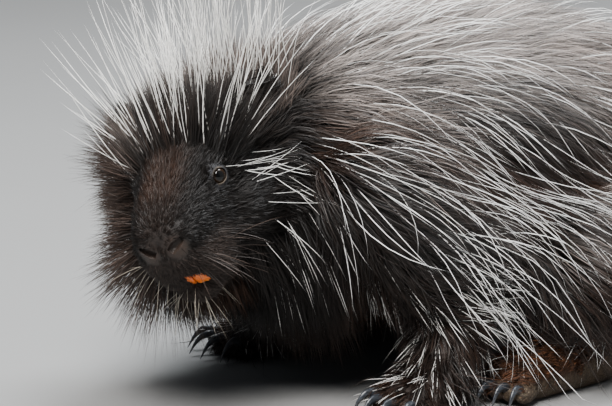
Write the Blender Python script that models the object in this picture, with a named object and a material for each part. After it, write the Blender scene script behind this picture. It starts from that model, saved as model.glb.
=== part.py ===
"""A North American porcupine crouched on all fours, life size, as a still museum model.

The animal faces -X and its left side faces -Y. The floor is z = 0. All sizes are in metres.
"""

import math
import random
from collections import namedtuple

import bmesh
import bpy
from mathutils import Matrix, Vector
from mathutils.bvhtree import BVHTree

# Driving sizes
GAP = 0.0003  # between two pieces that touch
CORE_SHARE = 0.42  # how far out through the coat the solid core reaches
WELD = 0.00001
BELLY_SHARE = 0.30  # the coat's depth under the belly, as a share of its depth on the back
SKIN_VOXEL = 0.0022
BODY_TRIANGLES = 1180
HEAD_TRIANGLES = 1250
PAW_TRIANGLES = 190
SIDES = ("left", "right")

# Head frame: forward along the muzzle, towards the animal's left, and up
HEAD_AT = Vector((-0.2108, -0.0235, 0.1550))  # midway between the eyes
HEAD_YAW = math.radians(40)  # turned towards the animal's left
HEAD_PITCH = math.radians(18)  # nose down
HEAD_ROLL = math.radians(19)  # left side up

# Trunk stations: x, y, z of the centre, half width, half height and coat depth
TRUNK = (
    (-0.178, 0.004, 0.152, 0.030, 0.034, 0.020),
    (-0.155, 0.004, 0.150, 0.043, 0.050, 0.030),
    (-0.125, 0.002, 0.145, 0.056, 0.062, 0.036),
    (-0.085, 0.000, 0.140, 0.068, 0.075, 0.042),
    (-0.035, 0.000, 0.134, 0.078, 0.084, 0.046),
    (0.020, 0.000, 0.130, 0.085, 0.090, 0.048),
    (0.075, 0.000, 0.124, 0.088, 0.090, 0.048),
    (0.120, 0.000, 0.113, 0.084, 0.083, 0.046),
    (0.158, 0.000, 0.098, 0.072, 0.070, 0.044),
    (0.188, 0.001, 0.080, 0.054, 0.053, 0.038),
    (0.208, 0.002, 0.066, 0.034, 0.036, 0.030),
)
# Tail stations, in the same order, lying along the floor
TAIL = (
    (0.180, 0.001, 0.072, 0.034, 0.036, 0.022),
    (0.214, 0.003, 0.050, 0.034, 0.034, 0.022),
    (0.250, 0.008, 0.036, 0.032, 0.029, 0.020),
    (0.290, 0.016, 0.028, 0.029, 0.024, 0.018),
    (0.325, 0.026, 0.023, 0.024, 0.020, 0.016),
    (0.352, 0.036, 0.019, 0.016, 0.015, 0.012),
)
# Head stations along the muzzle: forward, half width, top, bottom and coat depth
SKULL = (
    (0.0590, 0.0075, -0.0090, -0.0220, 0.001),
    (0.0565, 0.0145, -0.0030, -0.0290, 0.001),
    (0.0500, 0.0190, 0.0020, -0.0400, 0.002),
    (0.0400, 0.0215, 0.0065, -0.0520, 0.003),
    (0.0270, 0.0240, 0.0110, -0.0610, 0.003),
    (0.0120, 0.0275, 0.0150, -0.0640, 0.004),
    (-0.0040, 0.0320, 0.0190, -0.0640, 0.005),
    (-0.0220, 0.0370, 0.0200, -0.0620, 0.010),
    (-0.0420, 0.0390, 0.0180, -0.0580, 0.018),
    (-0.0600, 0.0360, 0.0130, -0.0520, 0.024),
    (-0.0760, 0.0310, 0.0050, -0.0440, 0.024),
    (-0.0880, 0.0210, -0.0050, -0.0350, 0.020),
)
SKULL_SQUARENESS = 2.8
FOREHEAD_NARROWING = 0.10  # the forehead is narrower than the jaw
# Rounded forms added to the skull: centre in the head frame, its three radii, and both sides or one
HEAD_FORMS = (
    ((-0.0180, 0.0290, -0.0360), (0.0260, 0.0150, 0.0230), True),  # jaw muscle
    ((0.0000, 0.0245, 0.0000), (0.0110, 0.0068, 0.0100), True),  # round the eye
    ((0.0510, 0.0000, -0.0140), (0.0085, 0.0165, 0.0130), False),  # nose
    ((0.0420, 0.0095, -0.0330), (0.0100, 0.0105, 0.0095), True),  # whisker pad
    ((0.0335, 0.0000, -0.0560), (0.0095, 0.0125, 0.0080), False),  # chin
)

# Legs: points from the shoulder or hip down, each x, distance from the middle plane, z and radius
FORELEG = (
    (-0.095, 0.055, 0.142, 0.030),
    (-0.072, 0.065, 0.110, 0.030),
    (-0.044, 0.081, 0.076, 0.025),
    (-0.046, 0.088, 0.048, 0.020),
    (-0.058, 0.090, 0.026, 0.017),
    (-0.068, 0.092, 0.014, 0.013),
)
HINDLEG = (
    (0.128, 0.060, 0.104, 0.042),
    (0.092, 0.072, 0.092, 0.044),
    (0.056, 0.086, 0.078, 0.037),
    (0.052, 0.095, 0.056, 0.030),
    (0.064, 0.098, 0.034, 0.022),
    (0.066, 0.099, 0.018, 0.015),
)
LEG_COAT = (0.030, 0.028, 0.018, 0.012, 0.008, 0.006)
LEG_SWELL = 0.004  # how far the cut round a limb stands off its form
LEG_VOXEL = 0.005
LEG_CUT_TRIANGLES = 180
WRIST_Z = 0.030  # height of the cut between foreleg and paw
ANKLE_Z = 0.036  # height of the cut between hind leg and foot
FOREPAW = (  # x, distance out, z, half width, half height
    (-0.048, 0.089, 0.030, 0.013, 0.016),
    (-0.058, 0.090, 0.018, 0.017, 0.019),
    (-0.072, 0.092, 0.013, 0.019, 0.014),
    (-0.086, 0.094, 0.010, 0.018, 0.011),
    (-0.094, 0.095, 0.008, 0.013, 0.008),
)
HINDFOOT = (
    (0.086, 0.096, 0.014, 0.009, 0.011),
    (0.080, 0.097, 0.015, 0.015, 0.017),
    (0.062, 0.099, 0.019, 0.018, 0.021),
    (0.034, 0.101, 0.018, 0.020, 0.020),
    (0.006, 0.103, 0.014, 0.021, 0.016),
    (-0.012, 0.105, 0.010, 0.018, 0.011),
)
TOES = {  # number, roots' middle, their spread in metres and degrees, heading and claw length
    "forepaw": (4, (-0.088, 0.0945, 0.0088), 0.0270, 34, 10, 0.027),
    "hindfoot": (5, (-0.008, 0.1045, 0.0085), 0.0300, 30, 6, 0.022),
}
TOE_STEP = 0.006  # the outer toes start this far behind the middle ones
TOE_RADIUS = 0.0058
TOE_LENGTH = 0.015
PAW_VOXEL = 0.0016
CLAW_RADIUS = 0.0030
CLAW_LIFT = 0.0030  # its root's height over the toe's middle
CLAW_ARCH = 0.0042
CLAW_CLEAR = 0.0012  # its tip's height over the floor
CLAW_RINGS = 3

# Cuts between the nodes: a point of each flat, the way it faces, and half the size of its block
HEAD_CUT_AT = Vector((-0.160, 0.006, 0.180))
HEAD_CUT_OUT = Vector((-0.90, -0.43, 0.0)).normalized()
HEAD_CUT_HALF = (0.10, 0.12, 0.118)
HEAD_SPARE = 0.006  # taken behind the head's cut while its skin is thinned
NECK_CUT_AT = Vector((-0.100, 0.0, 0.180))
NECK_CUT_HALF = (0.10, 0.13, 0.114)
TAIL_CUT_AT = Vector((0.206, 0.0, 0.05))
TAIL_CUT_OUT = Vector((0.86, 0.05, -0.5)).normalized()
TAIL_CUT_HALF = (0.15, 0.10, 0.12)
CUT_SIZE = 0.6

# Face
EYE_AT = Vector((0.000, 0.0262, 0.000))  # left eyeball's centre in the head frame
EYE_RADIUS = 0.0068
EYE_OUT = Vector((0.42, 0.88, 0.16)).normalized()  # where the left eye looks
LID_TUBE = 0.0016
LID_OUT = 0.0044  # the lid ring's distance from the eyeball's centre
LID_WIDE, LID_HIGH = 0.0064, 0.0057
EAR_AT = Vector((-0.050, 0.044, 0.017))
EAR_OUT = Vector((0.55, 0.80, 0.10))  # where the left ear's cup faces
EAR_UP = Vector((-0.30, 0.25, 0.90))
EAR_SIZE = (0.0080, 0.0130, 0.0160)  # half depth, half width and half height of its shell
EAR_WALL = 0.0022
NOSTRIL_AT = Vector((0.0588, 0.0080, -0.0145))
NOSTRIL_SIZE = (0.0040, 0.0017, 0.0036)
NOSTRIL_TILT = math.radians(28)
MOUTH_LINE = (  # from the middle of the lips to the left corner, in the head frame
    (0.0475, 0.0000, -0.0450),
    (0.0430, 0.0110, -0.0470),
    (0.0340, 0.0185, -0.0480),
    (0.0215, 0.0230, -0.0450),
)
LIP_OFFSET, LIP_SINK, LIP_TUBE = 0.0022, 0.0012, 0.0020
LINE_WIDTH, LINE_DEPTH = 0.0012, 0.0030
OPENING_AT = Vector((0.0460, 0.0, -0.0475))
OPENING_SIZE = (0.0085, 0.0088, 0.0050)
UPPER_TOOTH = (  # forward, left, up, half width and half depth, from the root down
    (0.0395, 0.0030, -0.0375, 0.0024, 0.0020),
    (0.0430, 0.0030, -0.0445, 0.0026, 0.0019),
    (0.0425, 0.0030, -0.0500, 0.0026, 0.0008),
)
LOWER_TOOTH = (
    (0.0345, 0.0028, -0.0590, 0.0021, 0.0019),
    (0.0380, 0.0028, -0.0535, 0.0023, 0.0016),
    (0.0385, 0.0028, -0.0500, 0.0023, 0.0007),
)

# Coat: locks lie along the body and overlap, quills stand off it
SEED = 24
LOCK_STEPS, QUILL_STEPS = 4, 2
LOCK_SINK, QUILL_SINK = 0.0045, 0.0050  # how deep the root goes into the core
LOCK_WIDTHS = (0.72, 1.00, 0.92, 0.64)  # along the lock, before its tip
LOCK_DEPTHS = (1.00, 0.90, 0.70, 0.45)
LOWEST = 0.0015  # the coat stays this far above the floor
ON_SURFACE = 0.0016  # a root this near to the body's surface is on it
TRIES = (  # height, length and width, tried in turn until a lock is clear of its neighbours
    (1.0, 1.0, 1.0), (0.7, 1.0, 1.0), (1.3, 1.0, 0.9), (0.45, 0.9, 0.8), (1.7, 0.9, 0.7),
    (0.6, 0.65, 0.6), (1.3, 0.8, 0.5), (2.0, 0.9, 0.5), (2.6, 0.7, 0.4),
)
# A zone's height is a lock's or quill's rise above the core, or the angle in degrees of a spike
Zone = namedtuple("Zone", "node kind spacing length width depth height where lie")

COLOURS = {  # base colour and roughness
    "coat": ((0.045, 0.036, 0.031), 0.8),
    "face": ((0.050, 0.040, 0.034), 0.8),
    "eye": ((0.008, 0.006, 0.005), 0.1),
    "tooth": ((0.850, 0.250, 0.020), 0.35),
    "claw": ((0.030, 0.032, 0.038), 0.35),
    "sole": ((0.120, 0.095, 0.070), 0.8),
    "ear": ((0.060, 0.042, 0.034), 0.8),
}


def clear_scene():
    for thing in list(bpy.data.objects):
        bpy.data.objects.remove(thing)


def material(name):
    found = bpy.data.materials.get(name)
    if found:
        return found
    made = bpy.data.materials.new(name)
    made.use_nodes = True
    colour, roughness = COLOURS[name]
    shader = made.node_tree.nodes["Principled BSDF"]
    shader.inputs["Base Color"].default_value = (*colour, 1)
    shader.inputs["Roughness"].default_value = roughness
    shader.inputs["Metallic"].default_value = 0
    return made


def mesh_object(name, verts, faces):
    mesh = bpy.data.meshes.new(name)
    mesh.from_pydata([tuple(v) for v in verts], [], faces)
    mesh.validate()
    found = bpy.data.objects.new(name, mesh)
    bpy.context.scene.collection.objects.link(found)
    return found


def remove(*things):
    for thing in things:
        bpy.data.objects.remove(thing)


def apply_modifiers(thing):
    """Bakes the modifiers into the mesh."""
    bpy.context.view_layer.update()
    graph = bpy.context.evaluated_depsgraph_get()
    mesh = bpy.data.meshes.new_from_object(thing.evaluated_get(graph))
    thing.modifiers.clear()
    thing.data = mesh
    return thing


def copy_of(thing, name="copy"):
    twin = thing.copy()
    twin.data = thing.data.copy()
    twin.name = name
    bpy.context.scene.collection.objects.link(twin)
    return twin


def keep_largest(thing):
    """Leaves only the largest closed surface, without points that no corner needs."""
    shape = bmesh.new()
    shape.from_mesh(thing.data)
    seen, groups = set(), []
    for start in shape.faces:
        if start in seen:
            continue
        group, queue = [], [start]
        seen.add(start)
        while queue:
            face = queue.pop()
            group.append(face)
            for edge in face.edges:
                if len(edge.link_faces) != 2:
                    continue
                for other in edge.link_faces:
                    if other not in seen:
                        seen.add(other)
                        queue.append(other)
        groups.append(group)
    groups.sort(key=lambda group: sum(face.calc_area() for face in group), reverse=True)
    bmesh.ops.delete(shape, geom=[face for group in groups[1:] for face in group], context="FACES")
    needless = [vert for vert in shape.verts if len(vert.link_edges) == 2]
    bmesh.ops.dissolve_verts(shape, verts=needless)
    shape.to_mesh(thing.data)
    shape.free()
    return thing


def weld(thing):
    """Merges points that fall together where pieces cross, and leaves triangles only."""
    shape = bmesh.new()
    shape.from_mesh(thing.data)
    bmesh.ops.remove_doubles(shape, verts=shape.verts, dist=WELD)
    bmesh.ops.triangulate(shape, faces=shape.faces)
    shape.to_mesh(thing.data)
    shape.free()
    return thing


def boolean(thing, other, operation, solver="EXACT"):
    """Applies one Boolean with an object or a collection of them, and removes what it used."""
    step = thing.modifiers.new("cut", "BOOLEAN")
    step.operation = operation
    step.solver = solver
    if isinstance(other, bpy.types.Collection):
        step.operand_type = "COLLECTION"
        step.collection = other
    else:
        step.object = other
    apply_modifiers(thing)
    if isinstance(other, bpy.types.Collection):
        remove(*list(other.objects))
        bpy.data.collections.remove(other)
    else:
        remove(other)
    return thing


def triangles(thing):
    return sum(len(face.vertices) - 2 for face in thing.data.polygons)


def refined(thing, voxel, smoothing):
    """Melts overlapping forms into one skin and smooths it."""
    melt = thing.modifiers.new("melt", "REMESH")
    melt.mode = "VOXEL"
    melt.voxel_size = voxel
    smooth = thing.modifiers.new("smooth", "SMOOTH")
    smooth.factor = 0.5
    smooth.iterations = smoothing
    return apply_modifiers(thing)


def thinned(thing, target):
    """Thins a skin to about target triangles."""
    thin = thing.modifiers.new("thin", "DECIMATE")
    thin.ratio = min(1.0, target / triangles(thing))
    return apply_modifiers(thing)


def grown(thing, by):
    """A copy whose surface is moved outward."""
    twin = copy_of(thing, "grown")
    swell = twin.modifiers.new("swell", "DISPLACE")
    swell.strength = by
    swell.mid_level = 0
    return apply_modifiers(twin)


def spline(rows, steps):
    """Catmull-Rom points through rows of numbers, steps to each stretch."""
    found = []
    last = len(rows) - 1
    for i in range(last):
        a, b, c, d = rows[max(i - 1, 0)], rows[i], rows[i + 1], rows[min(i + 2, last)]
        for k in range(steps):
            t = k / steps
            found.append(
                [
                    0.5
                    * (
                        2 * q
                        + (r - p) * t
                        + (2 * p - 5 * q + 4 * r - s) * t * t
                        + (3 * q - p - 3 * r + s) * t**3
                    )
                    for p, q, r, s in zip(a, b, c, d)
                ]
            )
    found.append(list(rows[last]))
    return found


def loft(name, rings):
    """A closed skin over rings of points, each end closed on its middle."""
    count = len(rings[0])
    verts = [point for ring in rings for point in ring]
    faces = []
    for i in range(len(rings) - 1):
        low, high = i * count, (i + 1) * count
        for k in range(count):
            n = (k + 1) % count
            faces.append((low + k, low + n, high + n, high + k))
    for ring, flip in ((0, True), (len(rings) - 1, False)):
        middle = len(verts)
        verts.append(sum(rings[ring], Vector()) / count)
        for k in range(count):
            n = (k + 1) % count
            a, b = ring * count + k, ring * count + n
            faces.append((b, a, middle) if flip else (a, b, middle))
    made = mesh_object(name, verts, faces)
    outward(made)
    return made


def outward(thing):
    shape = bmesh.new()
    shape.from_mesh(thing.data)
    bmesh.ops.recalc_face_normals(shape, faces=shape.faces)
    shape.to_mesh(thing.data)
    shape.free()


def ring_at(centre, along, half_width, half_height, count=20, squareness=2.3, side=Vector((0, 1, 0))):
    """Points of a rounded section square to along, its width nearest to side."""
    side = (side - along * side.dot(along)).normalized()
    up = along.cross(side).normalized()
    points = []
    for k in range(count):
        angle = 2 * math.pi * k / count
        c, s = math.cos(angle), math.sin(angle)
        x = math.copysign(abs(c) ** (2 / squareness), c) * half_width
        y = math.copysign(abs(s) ** (2 / squareness), s) * half_height
        points.append(centre + side * x + up * y)
    return points


def swept(name, rows, steps=4, count=20, squareness=2.3):
    """A loft along rows of x, y, z, half width, half height and, where there is one, coat depth."""
    rows = spline(rows, steps)
    centres = [Vector(row[:3]) for row in rows]
    rings = []
    for i, row in enumerate(rows):
        along = centres[min(i + 1, len(rows) - 1)] - centres[max(i - 1, 0)]
        ring = ring_at(centres[i], along.normalized(), row[3], row[4], count, squareness)
        if len(row) > 5:
            ring = [furred(point, centres[i], row[5] * CORE_SHARE) for point in ring]
        rings.append(ring)
    return loft(name, rings)


def coat_share(rise):
    """The coat's depth round the body, from its share under the belly to all of it above."""
    level = min(1.0, max(0.0, (rise + 1) / 1.3))
    return BELLY_SHARE + (1 - BELLY_SHARE) * level * level * (3 - 2 * level)


def furred(point, centre, depth):
    """A point of a section moved out through the coat."""
    out = (point - centre).normalized()
    return point + out * depth * coat_share(out.z)


def ellipsoid(name, centre, radii, axes=None, detail=2):
    shape = bmesh.new()
    bmesh.ops.create_icosphere(shape, subdivisions=detail, radius=1)
    turn = axes or Matrix.Identity(3)
    for vert in shape.verts:
        vert.co = centre + turn @ Vector((vert.co[i] * radii[i] for i in range(3)))
    mesh = bpy.data.meshes.new(name)
    shape.to_mesh(mesh)
    shape.free()
    found = bpy.data.objects.new(name, mesh)
    bpy.context.scene.collection.objects.link(found)
    return found


def box(name, centre, half, axes=None):
    corners = [(x, y, z) for x in (-1, 1) for y in (-1, 1) for z in (-1, 1)]
    turn = axes or Matrix.Identity(3)
    verts = [centre + turn @ Vector((c[i] * half[i] for i in range(3))) for c in corners]
    faces = [(0, 1, 3, 2), (4, 6, 7, 5), (0, 4, 5, 1), (2, 3, 7, 6), (0, 2, 6, 4), (1, 5, 7, 3)]
    made = mesh_object(name, verts, faces)
    outward(made)
    return made


def joined(name, things):
    """One object holding the meshes of several, still overlapping."""
    shape = bmesh.new()
    for thing in things:
        shape.from_mesh(thing.data)
    mesh = bpy.data.meshes.new(name)
    shape.to_mesh(mesh)
    shape.free()
    remove(*things)
    found = bpy.data.objects.new(name, mesh)
    bpy.context.scene.collection.objects.link(found)
    return found


def head_axes():
    """Columns: forward, left and up of the head."""
    cy, sy = math.cos(HEAD_YAW), math.sin(HEAD_YAW)
    cp, sp = math.cos(HEAD_PITCH), math.sin(HEAD_PITCH)
    forward = Vector((-cy * cp, -sy * cp, -sp))
    level = Vector((sy, -cy, 0))
    rise = forward.cross(level)
    left = level * math.cos(HEAD_ROLL) + rise * math.sin(HEAD_ROLL)
    up = rise * math.cos(HEAD_ROLL) - level * math.sin(HEAD_ROLL)
    return Matrix((forward, left, up)).transposed()


HEAD = head_axes()


def in_head(point):
    return HEAD_AT + HEAD @ Vector(point)


def mirrored(point, side):
    """A head-frame point or direction, on the side asked for."""
    return Vector((point[0], point[1] * (1 if side == "left" else -1), point[2]))


def side_sign(side):
    return -1 if side == "left" else 1


# The body's forms


def trunk_form():
    return swept("trunk", TRUNK, count=28, squareness=2.15)


def tail_form():
    return swept("tail", TAIL, count=20)


def skull_form():
    rows = []
    for f, w, top, bottom, coat in SKULL:
        c = coat * CORE_SHARE
        rows.append((f, (top + bottom) / 2, w + c, (top - bottom) / 2 + c))
    rings = []
    for f, middle, w, h in spline(rows, 3):
        ring = []
        for k in range(24):
            angle = 2 * math.pi * k / 24
            c, s = math.cos(angle), math.sin(angle)
            left = math.copysign(abs(c) ** (2 / SKULL_SQUARENESS), c) * w
            up = math.copysign(abs(s) ** (2 / SKULL_SQUARENESS), s) * h
            ring.append(in_head((f, left * (1 - FOREHEAD_NARROWING * max(0.0, s)), middle + up)))
        rings.append(ring)
    return loft("skull", rings)


def head_forms():
    made = [skull_form()]
    for centre, radii, both in HEAD_FORMS:
        for side in SIDES if both else ("left",):
            made.append(ellipsoid("form", in_head(mirrored(centre, side)), radii, HEAD, 3))
    return made


def leg_rows(leg, side, extra=0.0):
    """Sweep rows of a leg, with its coat's core and any extra."""
    rows = []
    for (x, out, z, radius), coat in zip(leg, LEG_COAT):
        r = radius + coat * CORE_SHARE + extra
        rows.append((x, side_sign(side) * out, z, r, r))
    return rows


def leg_form(leg, side, extra=0.0):
    """A limb with a rounded top."""
    rows = leg_rows(leg, side, extra)
    top = Vector(rows[0][:3])
    limb = swept("limb", rows, count=16, squareness=2.0)
    cap = ellipsoid("cap", top, (rows[0][3],) * 3, None, 3)
    foot = ellipsoid("cap", Vector(rows[-1][:3]), (rows[-1][3],) * 3, None, 2)
    return joined("limb", [limb, cap, foot])


def whole_body():
    """Every form of the body as one skin."""
    forms = [trunk_form(), tail_form(), *head_forms()]
    for side in SIDES:
        forms += [leg_form(FORELEG, side), leg_form(HINDLEG, side)]
    return refined(joined("whole", forms), SKIN_VOXEL, 5)


# The cuts between nodes


def head_region(inset):
    """A block that holds the head, its rear face behind the ears."""
    side = Vector((-HEAD_CUT_OUT.y, HEAD_CUT_OUT.x, 0))
    axes = Matrix((HEAD_CUT_OUT, side, Vector((0, 0, 1)))).transposed()
    depth, width, height = HEAD_CUT_HALF
    centre = HEAD_CUT_AT + HEAD_CUT_OUT * (depth + inset)
    return box("region", centre, (depth, width, height - inset), axes)


def neck_region(inset):
    """A block that holds the neck, its rear face in front of the shoulders."""
    depth, width, height = NECK_CUT_HALF
    centre = NECK_CUT_AT - Vector((depth + inset, 0, 0))
    return box("region", centre, (depth, width, height - inset))


def tail_region(inset):
    """A block that holds the tail, its front face behind the rump."""
    side = Vector((0, 1, 0))
    side = (side - TAIL_CUT_OUT * side.dot(TAIL_CUT_OUT)).normalized()
    axes = Matrix((TAIL_CUT_OUT, side, TAIL_CUT_OUT.cross(side))).transposed()
    centre = TAIL_CUT_AT + TAIL_CUT_OUT * TAIL_CUT_HALF[0] + Vector((inset, 0, 0))
    return box("region", centre, TAIL_CUT_HALF, axes)


def leg_region(leg, side):
    """The limb a little swollen, so that it takes the blended skin with it."""
    return thinned(refined(leg_form(leg, side, LEG_SWELL), LEG_VOXEL, 6), LEG_CUT_TRIANGLES)


def below(z):
    """A block under a level."""
    return box("below", Vector((0, 0, z - CUT_SIZE)), (CUT_SIZE,) * 3)


def above(z):
    return box("above", Vector((0, 0, z + CUT_SIZE)), (CUT_SIZE,) * 3)


def split(body, name, region, region_grown):
    """Takes region out of body as a node of its own and leaves the gap between them."""
    node = copy_of(body, name)
    boolean(node, region, "INTERSECT")
    keep_largest(node)
    boolean(body, region_grown, "DIFFERENCE")
    keep_largest(body)
    return node


def surface_tree(thing):
    verts = [v.co.copy() for v in thing.data.vertices]
    return BVHTree.FromPolygons(verts, [tuple(f.vertices) for f in thing.data.polygons])


def carve_body():
    """The body as nodes, name to object, and a search tree of its whole surface."""
    body = whole_body()
    surface = surface_tree(body)
    head = copy_of(body, "head")
    boolean(head, head_region(-HEAD_SPARE), "INTERSECT")
    thinned(keep_largest(head), HEAD_TRIANGLES)
    boolean(head, head_region(GAP), "INTERSECT")
    keep_largest(head)
    thinned(body, BODY_TRIANGLES)
    boolean(body, below(0.0), "DIFFERENCE")
    nodes = {"head": head}
    boolean(body, head_region(0.0), "DIFFERENCE")
    keep_largest(body)
    for side in SIDES:
        for kind, leg, foot_z in (("foreleg", FORELEG, WRIST_Z), ("hindleg", HINDLEG, ANKLE_Z)):
            name = f"{kind}_{side}"
            region = leg_region(leg, side)
            limb = split(body, name, grown(region, -GAP * 1.5), region)
            boolean(limb, below(foot_z), "DIFFERENCE")
            nodes[name] = keep_largest(limb)
    nodes["tail"] = split(body, "tail", tail_region(GAP), tail_region(0.0))
    nodes["neck"] = split(body, "neck", neck_region(GAP), neck_region(0.0))
    body.name = "torso"
    nodes["torso"] = keep_largest(body)
    return nodes, surface


# Head details


def torus(name, centre, out, wide, high, tube, turn_up, count=12, sides=4):
    """A ring of tube round an oval that faces out."""
    side = turn_up.cross(out).normalized()
    up = out.cross(side).normalized()
    verts, faces = [], []
    for i in range(count):
        angle = 2 * math.pi * i / count
        ray = side * math.cos(angle) * wide + up * math.sin(angle) * high
        middle, ray = centre + ray, ray.normalized()
        for k in range(sides):
            turn = 2 * math.pi * k / sides
            verts.append(middle + (ray * math.cos(turn) + out * math.sin(turn)) * tube)
    for i in range(count):
        for k in range(sides):
            a, b = i * sides, ((i + 1) % count) * sides
            n = (k + 1) % sides
            faces.append((a + k, a + n, b + n, b + k))
    made = mesh_object(name, verts, faces)
    outward(made)
    return made


def tube_along(name, points, wide, high, out_from, sides=4):
    """A closed strip of oval section through points, its ends tapered."""
    rings = []
    last = len(points) - 1
    for i, point in enumerate(points):
        along = (points[min(i + 1, last)] - points[max(i - 1, 0)]).normalized()
        out = point - out_from
        out = (out - along * out.dot(along)).normalized()
        across = along.cross(out)
        taper = 0.35 if i in (0, last) else 1.0
        ring = []
        for k in range(sides):
            angle = 2 * math.pi * k / sides
            offset = across * (math.cos(angle) * wide) + out * (math.sin(angle) * high)
            ring.append(point + offset * taper)
        rings.append(ring)
    return loft(name, rings)


def add_eyes(nodes):
    """Eyeballs in sockets with raised lids."""
    head = nodes["head"]
    for side in SIDES:
        centre = in_head(mirrored(EYE_AT, side))
        out = HEAD @ mirrored(EYE_OUT, side)
        lid_up = HEAD @ Vector((0, 0, 1))
        lid = torus("lid", centre + out * LID_OUT, out, LID_WIDE, LID_HIGH, LID_TUBE, lid_up)
        boolean(head, lid, "UNION")
        keep_largest(head)
        boolean(head, ellipsoid("socket", centre, (EYE_RADIUS + GAP * 2,) * 3), "DIFFERENCE")
        nodes[f"eye_{side}"] = ellipsoid(f"eye_{side}", centre, (EYE_RADIUS,) * 3)
    keep_largest(head)


def add_nose_and_mouth(nodes):
    """Nostrils, the line of the mouth between its lips, and the incisors in its opening."""
    head = nodes["head"]
    inside = in_head((0.02, 0, -0.035))
    for side in SIDES:
        axes = HEAD @ Matrix.Rotation(NOSTRIL_TILT if side == "left" else -NOSTRIL_TILT, 3, "X")
        centre = in_head(mirrored(NOSTRIL_AT, side))
        boolean(head, ellipsoid("nostril", centre, NOSTRIL_SIZE, axes, 1), "DIFFERENCE")
    points = [in_head(mirrored(p, "right")) for p in reversed(MOUTH_LINE[1:])]
    points += [in_head(p) for p in MOUTH_LINE]
    for offset in (LIP_OFFSET, -LIP_OFFSET):
        lip = [p + HEAD @ Vector((-LIP_SINK, 0, offset)) for p in points]
        boolean(head, tube_along("lip", lip, LIP_TUBE, LIP_TUBE, inside), "UNION")
        keep_largest(head)
    boolean(head, tube_along("line", points, LINE_WIDTH / 2, LINE_DEPTH, inside), "DIFFERENCE")
    boolean(head, ellipsoid("opening", in_head(OPENING_AT), OPENING_SIZE, HEAD), "DIFFERENCE")
    keep_largest(head)
    for side in SIDES:
        for place, rows in (("upper", UPPER_TOOTH), ("lower", LOWER_TOOTH)):
            rows = [[*mirrored(Vector(row[:3]), side), *row[3:]] for row in rows]
            nodes[f"incisor_{place}_{side}"] = tooth(f"incisor_{place}_{side}", rows)
            boolean(head, tooth("socket", rows, GAP), "DIFFERENCE")
    keep_largest(head)


def tooth(name, rows, extra=0.0):
    """A chisel-edged incisor through head-frame points with half width and half depth."""
    rings = []
    for i, (f, left, up, wide, deep) in enumerate(rows):
        end = extra if i == len(rows) - 1 else -extra if i == 0 else 0.0
        drop = 1 if rows[-1][2] < rows[0][2] else -1
        ring = []
        for x, y in ((-1, -1), (-0.4, -1.15), (0.4, -1.15), (1, -1), (1, 1), (-1, 1)):
            ring.append(in_head((f - y * (deep + extra), left + x * (wide + extra), up - drop * end)))
        rings.append(ring)
    return loft(name, rings)


def add_ears(nodes):
    """Round, thin-edged cups that stand off the head."""
    for side in SIDES:
        out = (HEAD @ mirrored(EAR_OUT, side)).normalized()
        up = HEAD @ mirrored(EAR_UP, side)
        across = up.cross(out).normalized()
        axes = Matrix((out, across, out.cross(across))).transposed()
        centre = in_head(mirrored(EAR_AT, side))
        ear = ellipsoid(f"ear_{side}", centre, EAR_SIZE, axes)
        deep, wide, high = (size - EAR_WALL for size in EAR_SIZE)
        mouth = centre + out * (EAR_SIZE[0] * 0.75)
        boolean(ear, ellipsoid("cup", mouth, (deep * 1.15, wide, high), axes), "DIFFERENCE")
        nodes[f"ear_{side}"] = keep_largest(ear)
        for node in (nodes["head"], nodes["neck"], nodes["torso"], nodes[f"foreleg_{side}"]):
            socket = ellipsoid("socket", centre, [size + GAP for size in EAR_SIZE], axes)
            boolean(node, socket, "DIFFERENCE")
            keep_largest(node)


# Paws and claws


def toe_places(kind, side):
    """Root, direction and claw length of each toe."""
    out = side_sign(side)
    count, front, width, spread, heading, claw = TOES[kind]
    front = Vector((front[0], front[1] * out, front[2]))
    for k in range(count):
        share = k / (count - 1) - 0.5
        angle = math.radians(heading + spread * share) * out
        along = Vector((-math.cos(angle), math.sin(angle), 0))
        root = front + Vector((TOE_STEP * abs(share) * 2, width * share * out, 0))
        yield k + 1, root, along, claw * (1 - 0.12 * abs(share) * 2)


def paw_form(kind, side):
    rows = FOREPAW if kind == "forepaw" else HINDFOOT
    out = side_sign(side)
    palm = swept("palm", [(x, y * out, z, w, h) for x, y, z, w, h in rows], count=18)
    forms = [palm]
    for _, root, along, _ in toe_places(kind, side):
        tip = root + along * TOE_LENGTH
        middle = (root + tip) / 2
        side_axis = Vector((0, 0, 1)).cross(along)
        axes = Matrix((along, side_axis, Vector((0, 0, 1)))).transposed()
        forms.append(
            ellipsoid("toe", middle, (TOE_LENGTH * 0.75, TOE_RADIUS, TOE_RADIUS * 1.15), axes)
        )
    return thinned(refined(joined(f"{kind}_{side}", forms), PAW_VOXEL, 3), PAW_TRIANGLES)


def claw_mesh(name, root, along, length, extra=0.0):
    """A curved, pointed claw that starts inside the toe and ends just over the floor."""
    rings = []
    start = root + along * (TOE_LENGTH * 0.95) + Vector((0, 0, CLAW_LIFT))
    drop = start.z - CLAW_CLEAR
    for k in range(CLAW_RINGS):
        t = k / CLAW_RINGS
        reach = length * (0.92 * t - 0.10 * t * t)
        rise = CLAW_ARCH * math.sin(math.pi * t) - drop * t * t
        centre = start + along * reach + Vector((0, 0, rise))
        slope = CLAW_ARCH * math.pi * math.cos(math.pi * t) - 2 * drop * t
        direction = (along * length * (0.92 - 0.2 * t) + Vector((0, 0, slope))).normalized()
        radius = CLAW_RADIUS * (1 - 0.75 * t**1.4) + extra
        rings.append(ring_at(centre, direction, radius * 0.8, radius * 1.15, 5, 2.0))
    tip = start + along * (length * 0.82) + Vector((0, 0, -drop + 0.0004))
    rings.append([tip + (p - tip) * 0.08 for p in rings[-1]])
    return loft(name, rings)


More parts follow.
